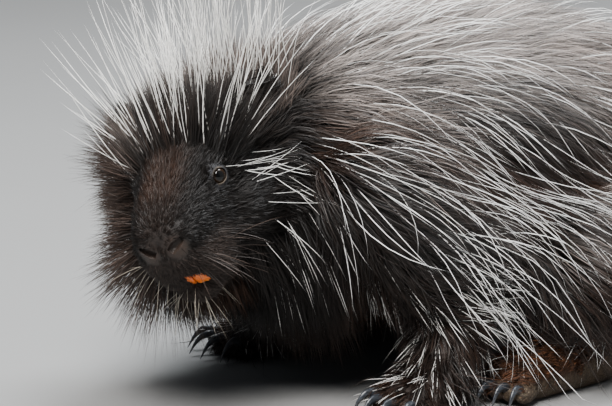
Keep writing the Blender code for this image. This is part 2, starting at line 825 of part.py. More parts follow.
def paws_and_claws(nodes):
    for kind, level in (("forepaw", WRIST_Z), ("hindfoot", ANKLE_Z)):
        for side in SIDES:
            name = f"{kind}_{side}"
            paw = paw_form(kind, side)
            boolean(paw, below(0.0), "DIFFERENCE")
            boolean(paw, above(level - GAP), "DIFFERENCE")
            keep_largest(paw)
            for number, root, along, length in toe_places(kind, side):
                boolean(paw, claw_mesh("socket", root, along, length, GAP * 1.5), "DIFFERENCE")
                prefix = "foreclaw" if kind == "forepaw" else "hindclaw"
                claw = claw_mesh(f"{prefix}_{side}_{number}", root, along, length)
                nodes[claw.name] = claw
            paw.name = name
            nodes[name] = keep_largest(paw)


# The coat


def in_head_frame(point):
    return HEAD.transposed() @ (point - HEAD_AT)


def lie_of_body(point, out):
    """Back along the body, and down over the flanks."""
    flank = 1 - max(0.0, out.z)
    return Vector((1.0, 0.0, -0.80 * flank))


def lie_of_leg(point, out):
    return Vector((0.55, 0.0, -1.0))


def lie_of_head(point, out):
    """Back over the crown, and back and down over the cheeks."""
    local = in_head_frame(point)
    return HEAD @ Vector((-1.0, 0.25 * (1 if local.y > 0 else -1), -0.35 if local.z < 0 else 0.1))


def lie_of_tail(point, out):
    return Vector((1.0, 0.12, -0.25))


def on_upper_side(point, out):
    return out.z > -0.35 and point.z > 0.035


def on_back(point, out):
    return out.z > 0.30


def on_rump(point, out):
    return point.x > 0.07 and out.z > 0.10


def on_crown(point, out):
    local = in_head_frame(point)
    return -0.075 < local.x < 0.004 and local.z > 0.006


def on_cheek(point, out):
    local = in_head_frame(point)
    return -0.052 < local.x < -0.020 and local.z < 0.010


def on_ruff(point, out):
    return in_head_frame(point).x < -0.052


def on_outside(point, out):
    """The outer side of a leg above its foot."""
    return abs(point.y) > 0.05 and out.y * point.y > 0 and point.z > 0.052


def on_top(point, out):
    return out.z > 0.05


def everywhere(point, out):
    return point.z > 0.012


ZONES = (
    Zone("head", "lock", 0.022, 0.072, 0.025, 0.0050, 0.028, on_ruff, lie_of_head),
    Zone("head", "lock", 0.018, 0.046, 0.019, 0.0045, 0.020, on_cheek, lie_of_head),
    Zone("head", "spike", 0.0125, 0.095, 0.0024, 0.0024, 62, on_crown, lie_of_head),
    Zone("neck", "lock", 0.025, 0.082, 0.030, 0.0055, 0.028, on_upper_side, lie_of_body),
    Zone("neck", "spike", 0.022, 0.090, 0.0024, 0.0024, 34, on_back, lie_of_body),
    Zone("torso", "lock", 0.044, 0.092, 0.047, 0.0065, 0.026, on_upper_side, lie_of_body),
    Zone("torso", "quill", 0.054, 0.105, 0.0024, 0.0024, 0.044, on_upper_side, lie_of_body),
    Zone("torso", "spike", 0.036, 0.055, 0.0024, 0.0024, 38, on_rump, lie_of_body),
    Zone("foreleg_left", "lock", 0.029, 0.060, 0.031, 0.0055, 0.016, on_outside, lie_of_leg),
    Zone("foreleg_right", "lock", 0.029, 0.060, 0.031, 0.0055, 0.016, on_outside, lie_of_leg),
    Zone("hindleg_left", "lock", 0.032, 0.062, 0.034, 0.0055, 0.018, on_outside, lie_of_leg),
    Zone("hindleg_right", "lock", 0.032, 0.062, 0.034, 0.0055, 0.018, on_outside, lie_of_leg),
    Zone("tail", "lock", 0.030, 0.054, 0.029, 0.0050, 0.010, everywhere, lie_of_tail),
    Zone("tail", "spike", 0.025, 0.034, 0.0024, 0.0024, 36, on_top, lie_of_tail),
)


def scattered(node, body, spacing, where, draw):
    """Points at least spacing apart on a node's share of the body's surface, with the way out."""
    faces = [f for f in node.data.polygons if f.area > 0]
    corners = [[node.data.vertices[i].co.copy() for i in f.vertices] for f in faces]
    fans = [(c[0], c[k], c[k + 1]) for c in corners for k in range(1, len(c) - 1)]
    areas = [((b - a).cross(c - a)).length / 2 for a, b, c in fans]
    tries = int(sum(areas) / (spacing * spacing) * 30) + 20
    kept = []
    for a, b, c in draw.choices(fans, areas, k=tries):
        u, v = draw.random(), draw.random()
        if u + v > 1:
            u, v = 1 - u, 1 - v
        point = a + (b - a) * u + (c - a) * v
        near, out, _, distance = body.find_nearest(point)
        face_out = (b - a).cross(c - a).normalized()
        if distance > ON_SURFACE or face_out.dot(out) < 0.6 or not where(point, out):
            continue
        if all((point - other).length > spacing for other, _ in kept):
            kept.append((point, out))
    return kept


def walked_line(body, point, out, zone, length, height, sway):
    """A lock's centre line, walked back along the body from its root and rising through the coat."""
    steps = LOCK_STEPS if zone.kind == "lock" else LOCK_STEPS - 1
    foot = point
    line = [(point - out * LOCK_SINK, out)]
    for k in range(1, steps + 1):
        lie = zone.lie(foot, out).normalized()
        lie = (lie - out * lie.dot(out)).normalized()
        lie = (lie + out.cross(lie) * sway).normalized()
        foot, near_out, _, _ = body.find_nearest(foot + lie * (length / steps))
        out = (out * 0.5 + near_out).normalized()
        rise = height * (1 - (1 - k / steps) ** 1.7)
        line.append((foot + out * rise, out))
    return line


def standing_line(point, out, zone, length, lift, sway):
    """A quill's centre line, standing off the skin and bending a little towards its lie."""
    lie = zone.lie(point, out)
    lie = (lie - out * lie.dot(out)).normalized()
    lie = (lie + out.cross(lie) * sway).normalized()
    along = lie * math.cos(lift) + out * math.sin(lift)
    line = [(point - along * QUILL_SINK, out)]
    for k in range(1, QUILL_STEPS + 1):
        t = k / QUILL_STEPS
        line.append((point + along * (length * t) + lie * (length * 0.16 * t * t), out))
    return line


def strand_mesh(line, width, depth, extra=0.0):
    """A closed tapered strip of three sides: wide with a low ridge for a lock, round for a quill."""
    flat = width > 2 * depth
    last = len(line) - 1
    verts, faces = [], []
    sides = 3
    for i in range(last):
        point, out = line[i]
        ahead, behind = line[i + 1][0], line[max(i - 1, 0)][0]
        along = (ahead - behind).normalized()
        out = (out - along * out.dot(along)).normalized()
        side = along.cross(out)
        share = i / last
        if flat:
            w = width * LOCK_WIDTHS[i] / 2 + extra
            d = depth * LOCK_DEPTHS[i] / 2 + extra
            ring = [side * w - out * (d * 0.6), out * d, -side * w - out * (d * 0.6)]
        else:
            r = width * (1 - 0.45 * share) / 2 + extra
            ring = [
                (side * math.cos(a) + out * math.sin(a)) * r
                for a in (2 * math.pi * k / 3 + math.pi / 2 for k in range(3))
            ]
        verts += [point + offset for offset in ring]
    verts.append(line[last][0])
    for i in range(last - 1):
        for k in range(sides):
            n = (k + 1) % sides
            faces.append((i * sides + k, i * sides + n, (i + 1) * sides + n, (i + 1) * sides + k))
    faces.append(tuple(range(sides - 1, -1, -1)))
    top = (last - 1) * sides
    for k in range(sides):
        faces.append((top + k, top + (k + 1) % sides, len(verts) - 1))
    return verts, faces


def box_of(verts, margin=0.001):
    low = [min(v[i] for v in verts) - margin for i in range(3)]
    high = [max(v[i] for v in verts) + margin for i in range(3)]
    return low, high


def boxes_meet(a, b):
    return all(a[0][i] <= b[1][i] and b[0][i] <= a[1][i] for i in range(3))


class Surroundings:
    """What a lock of one node must stay clear of: every other node and its locks."""

    def __init__(self, nodes):
        self.things = []
        for name, node in nodes.items():
            verts = [v.co.copy() for v in node.data.vertices]
            faces = [tuple(f.vertices) for f in node.data.polygons]
            self.add(name, verts, faces)

    def add(self, owner, verts, faces):
        self.things.append((owner, box_of(verts), BVHTree.FromPolygons(verts, faces)))

    def touched(self, owner, verts, faces):
        box, tree = box_of(verts), None
        for other, other_box, other_tree in self.things:
            if other == owner or not boxes_meet(box, other_box):
                continue
            tree = tree or BVHTree.FromPolygons(verts, faces)
            if tree.overlap(other_tree):
                return True
        return False


def coat_of_zone(zone, nodes, body, around, draw):
    """The closed strips of one zone that stay clear of the floor and of every other node."""
    made = []
    for point, out in scattered(nodes[zone.node], body, zone.spacing, zone.where, draw):
        length = zone.length * draw.uniform(0.82, 1.15)
        width = zone.width * draw.uniform(0.85, 1.15)
        sway = draw.uniform(-0.22, 0.22)
        for raised, shortened, narrowed in TRIES:
            if zone.kind == "spike":
                lift = math.radians(min(85.0, zone.height * (0.8 + 0.2 * raised)))
                line = standing_line(point, out, zone, length * shortened, lift, sway)
            else:
                height = zone.height * raised
                line = walked_line(body, point, out, zone, length * shortened, height, sway)
            slim = width * narrowed if zone.kind == "lock" else width
            verts, faces = strand_mesh(line, slim, zone.depth, GAP)
            if min(v.z for v in verts) < LOWEST or around.touched(zone.node, verts, faces):
                continue
            around.add(zone.node, verts, faces)
            made.append(strand_mesh(line, slim, zone.depth))
            break
    return made


def grow_coat(nodes, body):
    """Sets the locks and quills of every zone on its node and fuses them with it."""
    draw = random.Random(SEED)
    around = Surroundings(nodes)
    grown_on = {}
    for zone in ZONES:
        made = coat_of_zone(zone, nodes, body, around, draw)
        grown_on.setdefault(zone.node, []).extend(made)
    for name, strands in grown_on.items():
        coat = bpy.data.collections.new("coat")
        for verts, faces in strands:
            strand = mesh_object("strand", verts, faces)
            outward(strand)
            bpy.context.scene.collection.objects.unlink(strand)
            coat.objects.link(strand)
        boolean(nodes[name], coat, "UNION", "MANIFOLD")
        keep_largest(weld(nodes[name]))


# Materials and place

SHARP = math.radians(50)
MATERIAL_OF = (  # the first word that a node's name holds
    ("claw", "claw"),
    ("incisor", "tooth"),
    ("eye", "eye"),
    ("ear", "ear"),
    ("paw", "sole"),
    ("foot", "sole"),
    ("head", "face"),
    ("", "coat"),
)


def set_on_floor(nodes):
    """Moves every node so that the origin is at the middle of the underside of the whole."""
    points = [vert.co for node in nodes.values() for vert in node.data.vertices]
    low = [min(p[i] for p in points) for i in range(3)]
    high = [max(p[i] for p in points) for i in range(3)]
    shift = Vector((-(low[0] + high[0]) / 2, -(low[1] + high[1]) / 2, -low[2]))
    for node in nodes.values():
        node.data.transform(Matrix.Translation(shift))
    return shift


def main():
    clear_scene()
    nodes, surface = carve_body()
    add_ears(nodes)
    add_eyes(nodes)
    add_nose_and_mouth(nodes)
    paws_and_claws(nodes)
    grow_coat(nodes, surface)
    for name, node in nodes.items():
        node.name = name
        node.data.materials.clear()
        node.data.materials.append(material(next(slot for word, slot in MATERIAL_OF if word in name)))
        node.data.shade_smooth()
        node.data.set_sharp_from_angle(angle=SHARP)
    return set_on_floor(nodes)


if __name__ == "__main__":
    main()
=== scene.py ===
"""Looks of a crouched North American porcupine: one skin, its coat, quills, eyes, teeth and claws.

All places are in the design frame of the solids, in metres, and SHIFT moves them into the frame.
In that frame the animal faces -X, its left side faces -Y and the floor is z = 0.
"""

import math

import bmesh
import bpy
import numpy as np
from mathutils import Matrix, Vector
from mathutils.bvhtree import BVHTree


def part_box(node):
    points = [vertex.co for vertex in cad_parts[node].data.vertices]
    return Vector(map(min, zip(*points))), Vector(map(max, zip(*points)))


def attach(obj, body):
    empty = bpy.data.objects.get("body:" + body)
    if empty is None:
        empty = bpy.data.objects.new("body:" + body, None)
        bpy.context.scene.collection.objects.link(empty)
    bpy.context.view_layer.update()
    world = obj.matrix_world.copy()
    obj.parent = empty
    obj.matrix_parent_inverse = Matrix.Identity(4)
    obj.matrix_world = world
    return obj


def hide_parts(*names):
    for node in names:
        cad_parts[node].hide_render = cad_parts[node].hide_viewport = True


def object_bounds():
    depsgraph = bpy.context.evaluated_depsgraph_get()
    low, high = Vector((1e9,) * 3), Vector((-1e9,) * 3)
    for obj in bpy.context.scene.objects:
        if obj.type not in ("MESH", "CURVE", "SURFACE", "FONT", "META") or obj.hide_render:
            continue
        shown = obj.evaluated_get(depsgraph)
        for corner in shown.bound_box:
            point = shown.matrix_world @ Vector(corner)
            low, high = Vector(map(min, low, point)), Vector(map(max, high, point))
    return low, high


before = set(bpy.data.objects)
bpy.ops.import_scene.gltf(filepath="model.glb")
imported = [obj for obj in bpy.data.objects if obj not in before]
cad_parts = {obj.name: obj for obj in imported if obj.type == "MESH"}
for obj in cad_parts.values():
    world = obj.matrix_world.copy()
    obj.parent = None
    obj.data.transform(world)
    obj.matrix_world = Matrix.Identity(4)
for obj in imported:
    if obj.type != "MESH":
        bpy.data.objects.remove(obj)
CAD_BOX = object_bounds()

# Head frame: forward along the muzzle, towards the animal's left, and up
HEAD_AT = Vector((-0.2108, -0.0235, 0.1550))
HEAD_YAW = math.radians(40)
HEAD_PITCH = math.radians(18)
HEAD_ROLL = math.radians(19)

# Flesh stations: x, y, z of the centre, half width and half height
TRUNK = (
    (-0.178, 0.004, 0.152, 0.030, 0.034),
    (-0.155, 0.004, 0.150, 0.043, 0.050),
    (-0.125, 0.002, 0.145, 0.056, 0.062),
    (-0.085, 0.000, 0.140, 0.068, 0.075),
    (-0.035, 0.000, 0.134, 0.078, 0.084),
    (0.020, 0.000, 0.130, 0.085, 0.090),
    (0.075, 0.000, 0.124, 0.088, 0.090),
    (0.120, 0.000, 0.113, 0.084, 0.083),
    (0.158, 0.000, 0.098, 0.072, 0.070),
    (0.188, 0.001, 0.080, 0.054, 0.053),
    (0.208, 0.002, 0.066, 0.034, 0.036),
)
TAIL = (
    (0.180, 0.001, 0.072, 0.034, 0.036),
    (0.214, 0.003, 0.050, 0.034, 0.034),
    (0.250, 0.008, 0.036, 0.032, 0.029),
    (0.290, 0.016, 0.028, 0.029, 0.024),
    (0.325, 0.026, 0.023, 0.024, 0.020),
    (0.352, 0.036, 0.019, 0.016, 0.015),
)
# Head stations along the muzzle: forward, half width, top and bottom
SKULL = (
    (0.0590, 0.0075, -0.0090, -0.0220),
    (0.0565, 0.0145, -0.0030, -0.0290),
    (0.0500, 0.0205, 0.0020, -0.0400),
    (0.0400, 0.0240, 0.0065, -0.0520),
    (0.0270, 0.0266, 0.0110, -0.0610),
    (0.0120, 0.0287, 0.0150, -0.0640),
    (-0.0040, 0.0320, 0.0190, -0.0640),
    (-0.0220, 0.0370, 0.0200, -0.0620),
    (-0.0420, 0.0390, 0.0180, -0.0580),
    (-0.0600, 0.0360, 0.0130, -0.0520),
    (-0.0760, 0.0310, 0.0050, -0.0440),
    (-0.0880, 0.0210, -0.0050, -0.0350),
)
# Rounded forms added to the skull: centre in the head frame, radii, and both sides or one
HEAD_FORMS = (
    ((-0.0180, 0.0290, -0.0360), (0.0260, 0.0150, 0.0230), True),  # jaw muscle
    ((0.0000, 0.0245, 0.0000), (0.0110, 0.0068, 0.0100), True),  # round the eye
    ((0.0500, 0.0000, -0.0150), (0.0090, 0.0215, 0.0130), False),  # nose
    ((0.0420, 0.0095, -0.0330), (0.0100, 0.0105, 0.0095), True),  # whisker pad
    ((0.0335, 0.0000, -0.0560), (0.0095, 0.0125, 0.0080), False),  # chin
)
# Legs: x, distance from the middle plane, z and radius
FORELEG = (
    (-0.095, 0.055, 0.142, 0.030),
    (-0.072, 0.065, 0.110, 0.030),
    (-0.044, 0.081, 0.076, 0.025),
    (-0.046, 0.088, 0.048, 0.020),
    (-0.058, 0.090, 0.026, 0.017),
    (-0.068, 0.092, 0.014, 0.013),
)
HINDLEG = (
    (0.128, 0.060, 0.104, 0.042),
    (0.092, 0.072, 0.092, 0.044),
    (0.056, 0.086, 0.078, 0.037),
    (0.052, 0.095, 0.056, 0.030),
    (0.064, 0.098, 0.034, 0.022),
    (0.066, 0.099, 0.018, 0.015),
)
FOREPAW = (
    (-0.048, 0.089, 0.030, 0.013, 0.016),
    (-0.058, 0.090, 0.018, 0.017, 0.019),
    (-0.072, 0.092, 0.013, 0.019, 0.014),
    (-0.086, 0.094, 0.010, 0.018, 0.011),
    (-0.094, 0.095, 0.008, 0.013, 0.008),
)
HINDFOOT = (
    (0.086, 0.096, 0.014, 0.009, 0.011),
    (0.080, 0.097, 0.015, 0.015, 0.017),
    (0.062, 0.099, 0.019, 0.018, 0.021),
    (0.034, 0.101, 0.018, 0.020, 0.020),
    (0.006, 0.103, 0.014, 0.021, 0.016),
    (-0.012, 0.105, 0.010, 0.018, 0.011),
)
TOES = {  # number, roots' middle, their spread in metres and degrees, heading and claw length
    "forepaw": (4, (-0.088, 0.0945, 0.0088), 0.0270, 34, 10, 0.027),
    "hindfoot": (5, (-0.008, 0.1045, 0.0085), 0.0300, 30, 6, 0.022),
}
TOE_STEP = 0.006
TOE_RADIUS = 0.0058
TOE_LENGTH = 0.015
CLAW_RADIUS = 0.0030
CLAW_LIFT = 0.0030
CLAW_ARCH = 0.0042
CLAW_CLEAR = 0.0012
CLAW_STEPS = 14

EYE_NODE = Vector((0.000, 0.0262, 0.000))  # the solid's eye
EYE_AT = Vector((0.000, 0.0252, -0.0017))
EYE_RADIUS = 0.0068
EYE_OUT = Vector((0.62, 0.76, 0.18)).normalized()
LID_RADIUS = 0.0079
APERTURE = (0.0062, 0.0061, 0.0047)  # depth, half width and half height of the eye's opening
EYE_CORNER = Vector((0.0044, -0.0036, -0.0016))
CORNER_SIZE = (0.0040, 0.0030, 0.0019)
EAR_AT = Vector((-0.050, 0.044, 0.017))
EAR_OUT = Vector((0.55, 0.80, 0.10))
EAR_UP = Vector((-0.30, 0.25, 0.90))
EAR_SIZE = (0.0080, 0.0130, 0.0160)
EAR_WALL = 0.0018
NOSTRIL_AT = Vector((0.0582, 0.0090, -0.0140))
NOSTRIL = (  # a slit's points from there, half width and half height
    (0.0012, -0.0038, -0.0034, 0.0024, 0.0026),
    (-0.0004, 0.0000, -0.0006, 0.0032, 0.0032),
    (-0.0026, 0.0042, 0.0016, 0.0021, 0.0023),
    (-0.0062, 0.0076, 0.0030, 0.0008, 0.0009),
)
MOUTH_LINE = (
    (0.0490, 0.0000, -0.0425),
    (0.0425, 0.0135, -0.0455),
    (0.0345, 0.0195, -0.0465),
    (0.0215, 0.0240, -0.0445),
)
OPENING_AT = Vector((0.0478, 0.0067, -0.0403))  # middle of the upper lip's edge over the teeth
OPENING_SIZE = (0.0120, 0.0077, 0.0112)
MOUTH_TILT = math.radians(-15.7)
BITE_AT = 0.0037  # the teeth meet a little to the left in this pose
UPPER_TOOTH = (
    (0.0440, 0.0049, -0.0345, 0.0038, 0.0021),
    (0.0457, 0.0048, -0.0400, 0.0040, 0.0021),
    (0.0436, 0.0047, -0.0460, 0.0043, 0.0018),
    (0.0408, 0.0046, -0.0508, 0.0043, 0.0012),
)
LOWER_TOOTH = (
    (0.0330, 0.0042, -0.0600, 0.0038, 0.0020),
    (0.0362, 0.0042, -0.0560, 0.0040, 0.0019),
    (0.0390, 0.0042, -0.0512, 0.0040, 0.0012),
)
SIDES = ("left", "right")
SKIN_VOXEL = 0.0017
PATCH = 0.003  # a tuft's patch in the baking map
THIN = 1.0  # share of the coat made
PIECE_LIMIT = 190000  # most triangles in one piece of the coat
SOLE_LEVEL = 0.0004  # lowest skin
HAIR_LEVEL = 0.0008  # lowest hair
DOWN = np.array([0.0, 0.0, -1.0])

# Thickness along a strand, from root to tip, and the corners of its section
BLADE = np.array([0.75, 1.0, 0.9, 0.62, 0.4])
TUFT = BLADE[[0, 1, 3]]
HAIR = np.array([1.0, 1.0, 0.95, 0.86, 0.74, 0.58, 0.38])
FINE = HAIR[[0, 1, 3, 4, 5]]
FLAT = ((1, 0), (-1, 0))
ROUND = [(math.cos(a), math.sin(a)) for a in (math.pi / 2, math.pi * 7 / 6, math.pi * 11 / 6)]

rng = np.random.default_rng(7)


# Forms


def head_axes():
    """Columns: forward, left and up of the head."""
    cy, sy = math.cos(HEAD_YAW), math.sin(HEAD_YAW)
    cp, sp = math.cos(HEAD_PITCH), math.sin(HEAD_PITCH)
    forward = Vector((-cy * cp, -sy * cp, -sp))
    level = Vector((sy, -cy, 0))
    rise = forward.cross(level)
    left = level * math.cos(HEAD_ROLL) + rise * math.sin(HEAD_ROLL)
    up = rise * math.cos(HEAD_ROLL) - level * math.sin(HEAD_ROLL)
    return Matrix((forward, left, up)).transposed()


HEAD = head_axes()
HEAD_NP = np.array(HEAD)
HEAD_AT_NP = np.array(HEAD_AT)


def in_head(point):
    return HEAD_AT + HEAD @ Vector(point)


def mirrored(point, side):
    return Vector((point[0], point[1] * (1 if side == "left" else -1), point[2]))


def side_sign(side):
    return -1 if side == "left" else 1


low, high = (Vector(corner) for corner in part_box("eye_left"))
SHIFT = (low + high) / 2 - in_head(EYE_NODE)
SHIFT_NP = np.array(SHIFT)


def linked(name, data):
    """A new object in the scene."""
    thing = bpy.data.objects.new(name, data)
    bpy.context.scene.collection.objects.link(thing)
    return thing


def mesh_object(name, verts, faces):
    mesh = bpy.data.meshes.new(name)
    mesh.from_pydata([tuple(v) for v in verts], [], faces)
    mesh.validate()
    return linked(name, mesh)


def shape_object(name, shape):
    mesh = bpy.data.meshes.new(name)
    shape.to_mesh(mesh)
    shape.free()
    return linked(name, mesh)


def outward(thing):
    shape = bmesh.new()
    shape.from_mesh(thing.data)
    bmesh.ops.recalc_face_normals(shape, faces=shape.faces)
    shape.to_mesh(thing.data)
    shape.free()


def apply_modifiers(thing):
    bpy.context.view_layer.update()
    graph = bpy.context.evaluated_depsgraph_get()
    mesh = bpy.data.meshes.new_from_object(thing.evaluated_get(graph))
    thing.modifiers.clear()
    thing.data = mesh


def melted(thing, voxel, rounds):
    """Makes one smooth closed surface of overlapping forms."""
    melt = thing.modifiers.new("melt", "REMESH")
    melt.mode = "VOXEL"
    melt.voxel_size = voxel
    smooth = thing.modifiers.new("smooth", "SMOOTH")
    smooth.factor = 0.5
    smooth.iterations = rounds
    apply_modifiers(thing)


def cut(thing, cutter):
    """Takes the cutter's form out of a thing."""
    change = thing.modifiers.new("cut", "BOOLEAN")
    change.operation = "DIFFERENCE"
    change.solver = "MANIFOLD"
    change.object = cutter
    apply_modifiers(thing)
    bpy.data.objects.remove(cutter)


def spline(rows, steps):
    """Catmull-Rom points through rows of numbers."""
    found = []
    last = len(rows) - 1
    for i in range(last):
        near = list(zip(rows[max(i - 1, 0)], rows[i], rows[i + 1], rows[min(i + 2, last)]))
        for k in range(steps):
            t = k / steps
            found.append([
                0.5 * (2 * q + (r - p) * t + (2 * p - 5 * q + 4 * r - s) * t * t
                       + (3 * q - p - 3 * r + s) * t**3)
                for p, q, r, s in near
            ])
    found.append(list(rows[last]))
    return found


def loft(name, rings):
    count = len(rings[0])
    verts = [point for ring in rings for point in ring]
    faces = []
    for i in range(len(rings) - 1):
        a, b = i * count, (i + 1) * count
        faces += [(a + k, a + (k + 1) % count, b + (k + 1) % count, b + k) for k in range(count)]
    for ring in (0, len(rings) - 1):
        middle = len(verts)
        verts.append(sum(rings[ring], Vector()) / count)
        faces += [(ring * count + k, ring * count + (k + 1) % count, middle) for k in range(count)]
    made = mesh_object(name, verts, faces)
    outward(made)
    return made


def around(count):
    """Cosine and sine of evenly spaced angles."""
    angles = [2 * math.pi * k / count for k in range(count)]
    return [(math.cos(angle), math.sin(angle)) for angle in angles]


def squarer(value, power):
    return math.copysign(abs(value) ** power, value)


def ring_at(centre, along, half_width, half_height, count, squareness=2.3):
    side = Vector((0, 1, 0))
    side = (side - along * side.dot(along)).normalized()
    up = along.cross(side).normalized()
    power = 2 / squareness
    return [
        centre + side * (squarer(c, power) * half_width) + up * (squarer(s, power) * half_height)
        for c, s in around(count)
    ]


def tube(name, points, radii, count=10, squareness=2.0):
    """A closed tube through points, with its half width and half height at each."""
    rings = []
    last = len(points) - 1
    for i, point in enumerate(points):
        along = (points[min(i + 1, last)] - points[max(i - 1, 0)]).normalized()
        rings.append(ring_at(point, along, radii[i][0], radii[i][1], count, squareness))
    return loft(name, rings)


def swept(name, rows, count=36, squareness=2.3):
    rows = spline(rows, 5)
    return tube(name, [Vector(row[:3]) for row in rows], [row[3:] for row in rows], count, squareness)


def ellipsoid(name, centre, radii, axes=None, detail=4):
    shape = bmesh.new()
    bmesh.ops.create_icosphere(shape, subdivisions=detail, radius=1)
    turn = axes or Matrix.Identity(3)
    for vert in shape.verts:
        vert.co = centre + turn @ Vector((vert.co[i] * radii[i] for i in range(3)))
    return shape_object(name, shape)


def joined(name, things):
    shape = bmesh.new()
    for thing in things:
        shape.from_mesh(thing.data)
        bpy.data.objects.remove(thing)
    return shape_object(name, shape)


def skull_form():
    power = 2 / 2.8
    rings = []
    for f, w, top, bottom in spline(SKULL, 5):
        middle, h = (top + bottom) / 2, (top - bottom) / 2
        rings.append([
            in_head((f, squarer(c, power) * w * (1 - 0.10 * max(0.0, s)), middle + squarer(s, power) * h))
            for c, s in around(40)
        ])
    return loft("skull", rings)


def limb_forms(leg, side):
    rows = [(x, side_sign(side) * out, z, r, r) for x, out, z, r in leg]
    caps = [ellipsoid("cap", Vector(row[:3]), (row[3],) * 3) for row in (rows[0], rows[-1])]
    return [swept("limb", rows, squareness=2.0), *caps]


def toe_places(kind, side):
    """Root, direction and claw length of each toe."""
    out = side_sign(side)
    count, front, width, spread, heading, claw = TOES[kind]
    front = Vector((front[0], front[1] * out, front[2]))
    for k in range(count):
        share = k / (count - 1) - 0.5
        angle = math.radians(heading + spread * share) * out
        along = Vector((-math.cos(angle), math.sin(angle), 0))
        root = front + Vector((TOE_STEP * abs(share) * 2, width * share * out, 0))
        yield k + 1, root, along, claw * (1 - 0.12 * abs(share) * 2)


def paw_forms(kind, side):
    rows = FOREPAW if kind == "forepaw" else HINDFOOT
    out, up = side_sign(side), Vector((0, 0, 1))
    forms = [swept("palm", [(x, y * out, z, w, h) for x, y, z, w, h in rows])]
    for _, root, along, _ in toe_places(kind, side):
        tip = root + along * TOE_LENGTH
        axes = Matrix((along, up.cross(along), up)).transposed()
        size = (TOE_LENGTH * 0.75, TOE_RADIUS, TOE_RADIUS * 1.15)
        forms.append(ellipsoid("toe", (root + tip) / 2, size, axes))
    return forms


def out_axes(out, up):
    """Columns: out, across and up."""
    across = up.cross(out).normalized()
    return Matrix((out, across, out.cross(across))).transposed()


def ear_axes(side):
    out = (HEAD @ mirrored(EAR_OUT, side)).normalized()
    return out_axes(out, HEAD @ mirrored(EAR_UP, side))


def build_skin():
    """The whole animal's skin with lids, nostrils, mouth and the hollows of its ears."""
    forms = [swept("trunk", TRUNK, 56, 2.15), swept("tail", TAIL), skull_form()]
    for centre, radii, both in HEAD_FORMS:
        for side in SIDES if both else ("left",):
            forms.append(ellipsoid("form", in_head(mirrored(centre, side)), radii, HEAD))
    for side in SIDES:
        forms += limb_forms(FORELEG, side) + limb_forms(HINDLEG, side)
        forms += paw_forms("forepaw", side) + paw_forms("hindfoot", side)
        forms.append(ellipsoid("lids", in_head(mirrored(EYE_AT, side)), (LID_RADIUS,) * 3))
        forms.append(ellipsoid("ear", in_head(mirrored(EAR_AT, side)), EAR_SIZE, ear_axes(side)))
    skin = joined("skin", forms)
    melted(skin, SKIN_VOXEL, 4)
    carve_face(skin)
    for vert in skin.data.vertices:
        vert.co.z = max(vert.co.z, SOLE_LEVEL)
    skin.data.shade_smooth()
    skin.data.update()
    return skin


def carve_face(skin):
    for side in SIDES:
        eye = in_head(mirrored(EYE_AT, side))
        out = HEAD @ mirrored(EYE_OUT, side)
        axes = out_axes(out, HEAD @ Vector((0, 0, 1)))
        cut(skin, ellipsoid("socket", eye, (EYE_RADIUS + 0.0002,) * 3))
        cut(skin, ellipsoid("aperture", eye + out * 0.0062, APERTURE, axes))
        corner = eye + out * 0.0054 + HEAD @ mirrored(EYE_CORNER, side)
        cut(skin, ellipsoid("corner", corner, CORNER_SIZE, axes))
        deep, wide, tall = (size - EAR_WALL for size in EAR_SIZE)
        cup = in_head(mirrored(EAR_AT, side)) + ear_axes(side).col[0] * (EAR_SIZE[0] * 0.75)
        cut(skin, ellipsoid("cup", cup, (deep * 1.15, wide, tall), ear_axes(side)))
        nostril = mirrored(NOSTRIL_AT, side)
        slit = [in_head(nostril + mirrored(row[:3], side)) for row in NOSTRIL]
        cut(skin, tube("nostril", slit, [row[3:] for row in NOSTRIL]))
    line = [mirrored(p, "right") for p in reversed(MOUTH_LINE[1:])] + list(MOUTH_LINE)
    line = [in_head(p) for p in line]
    line = [Vector(p) for p in spline([tuple(p) for p in line], 4)]
    cut(skin, tube("line", line, [(0.0010, 0.0010)] * len(line)))
    turn = HEAD @ Matrix.Rotation(MOUTH_TILT, 3, "X")
    opening = ellipsoid("opening", Vector(), OPENING_SIZE)
    for vert in opening.data.vertices:
        place = Vector((vert.co.x, vert.co.y, min(vert.co.z, 0.0002)))
        vert.co = in_head(OPENING_AT) + turn @ place
    cut(skin, opening)


# Fields over the body, each for arrays of points and of directions out


def unit(v):
    return v / np.maximum(np.linalg.norm(v, axis=-1, keepdims=True), 1e-9)


def step(a, b, x):
    """Smoothly from 0 at a to 1 at b."""
    t = np.clip((x - a) / (b - a), 0, 1)
    return t * t * (3 - 2 * t)


def fade(a, b, x):
    """Smoothly from 1 at a to 0 at b."""
    return 1 - step(a, b, x)


def parts(p):
    return p[..., 0], p[..., 1], p[..., 2]


def to_head(p):
    return (p - HEAD_AT_NP) @ HEAD_NP


def folded(p):
    """Points in the head frame, those of its right half mirrored onto the left."""
    local = to_head(p)
    local[..., 1] = np.abs(local[..., 1])
    return local


def head_share(p):
    """1 on the head, 0 behind it."""
    f, s, _ = parts(folded(p))
    inside = step(-0.105, -0.070, f) * fade(0.052, 0.066, s)
    return inside * step(0.075, 0.095, p[..., 2] + 0.35 * (-0.15 - p[..., 0]))


def foreleg_share(p):
    """1 on the arm below the shoulder."""
    x, y, z = parts(p)
    inside = step(-0.135, -0.105, x) * fade(-0.020, 0.005, x)
    return inside * fade(0.085, 0.120, z) * step(0.045, 0.062, np.abs(y))


def hindleg_share(p):
    """1 on the lower leg and foot."""
    x, y, z = parts(p)
    inside = step(-0.045, -0.015, x) * fade(0.105, 0.135, x)
    return inside * fade(0.040, 0.062, z) * step(0.060, 0.075, np.abs(y))


def tail_share(p):
    return step(0.200, 0.225, p[..., 0])


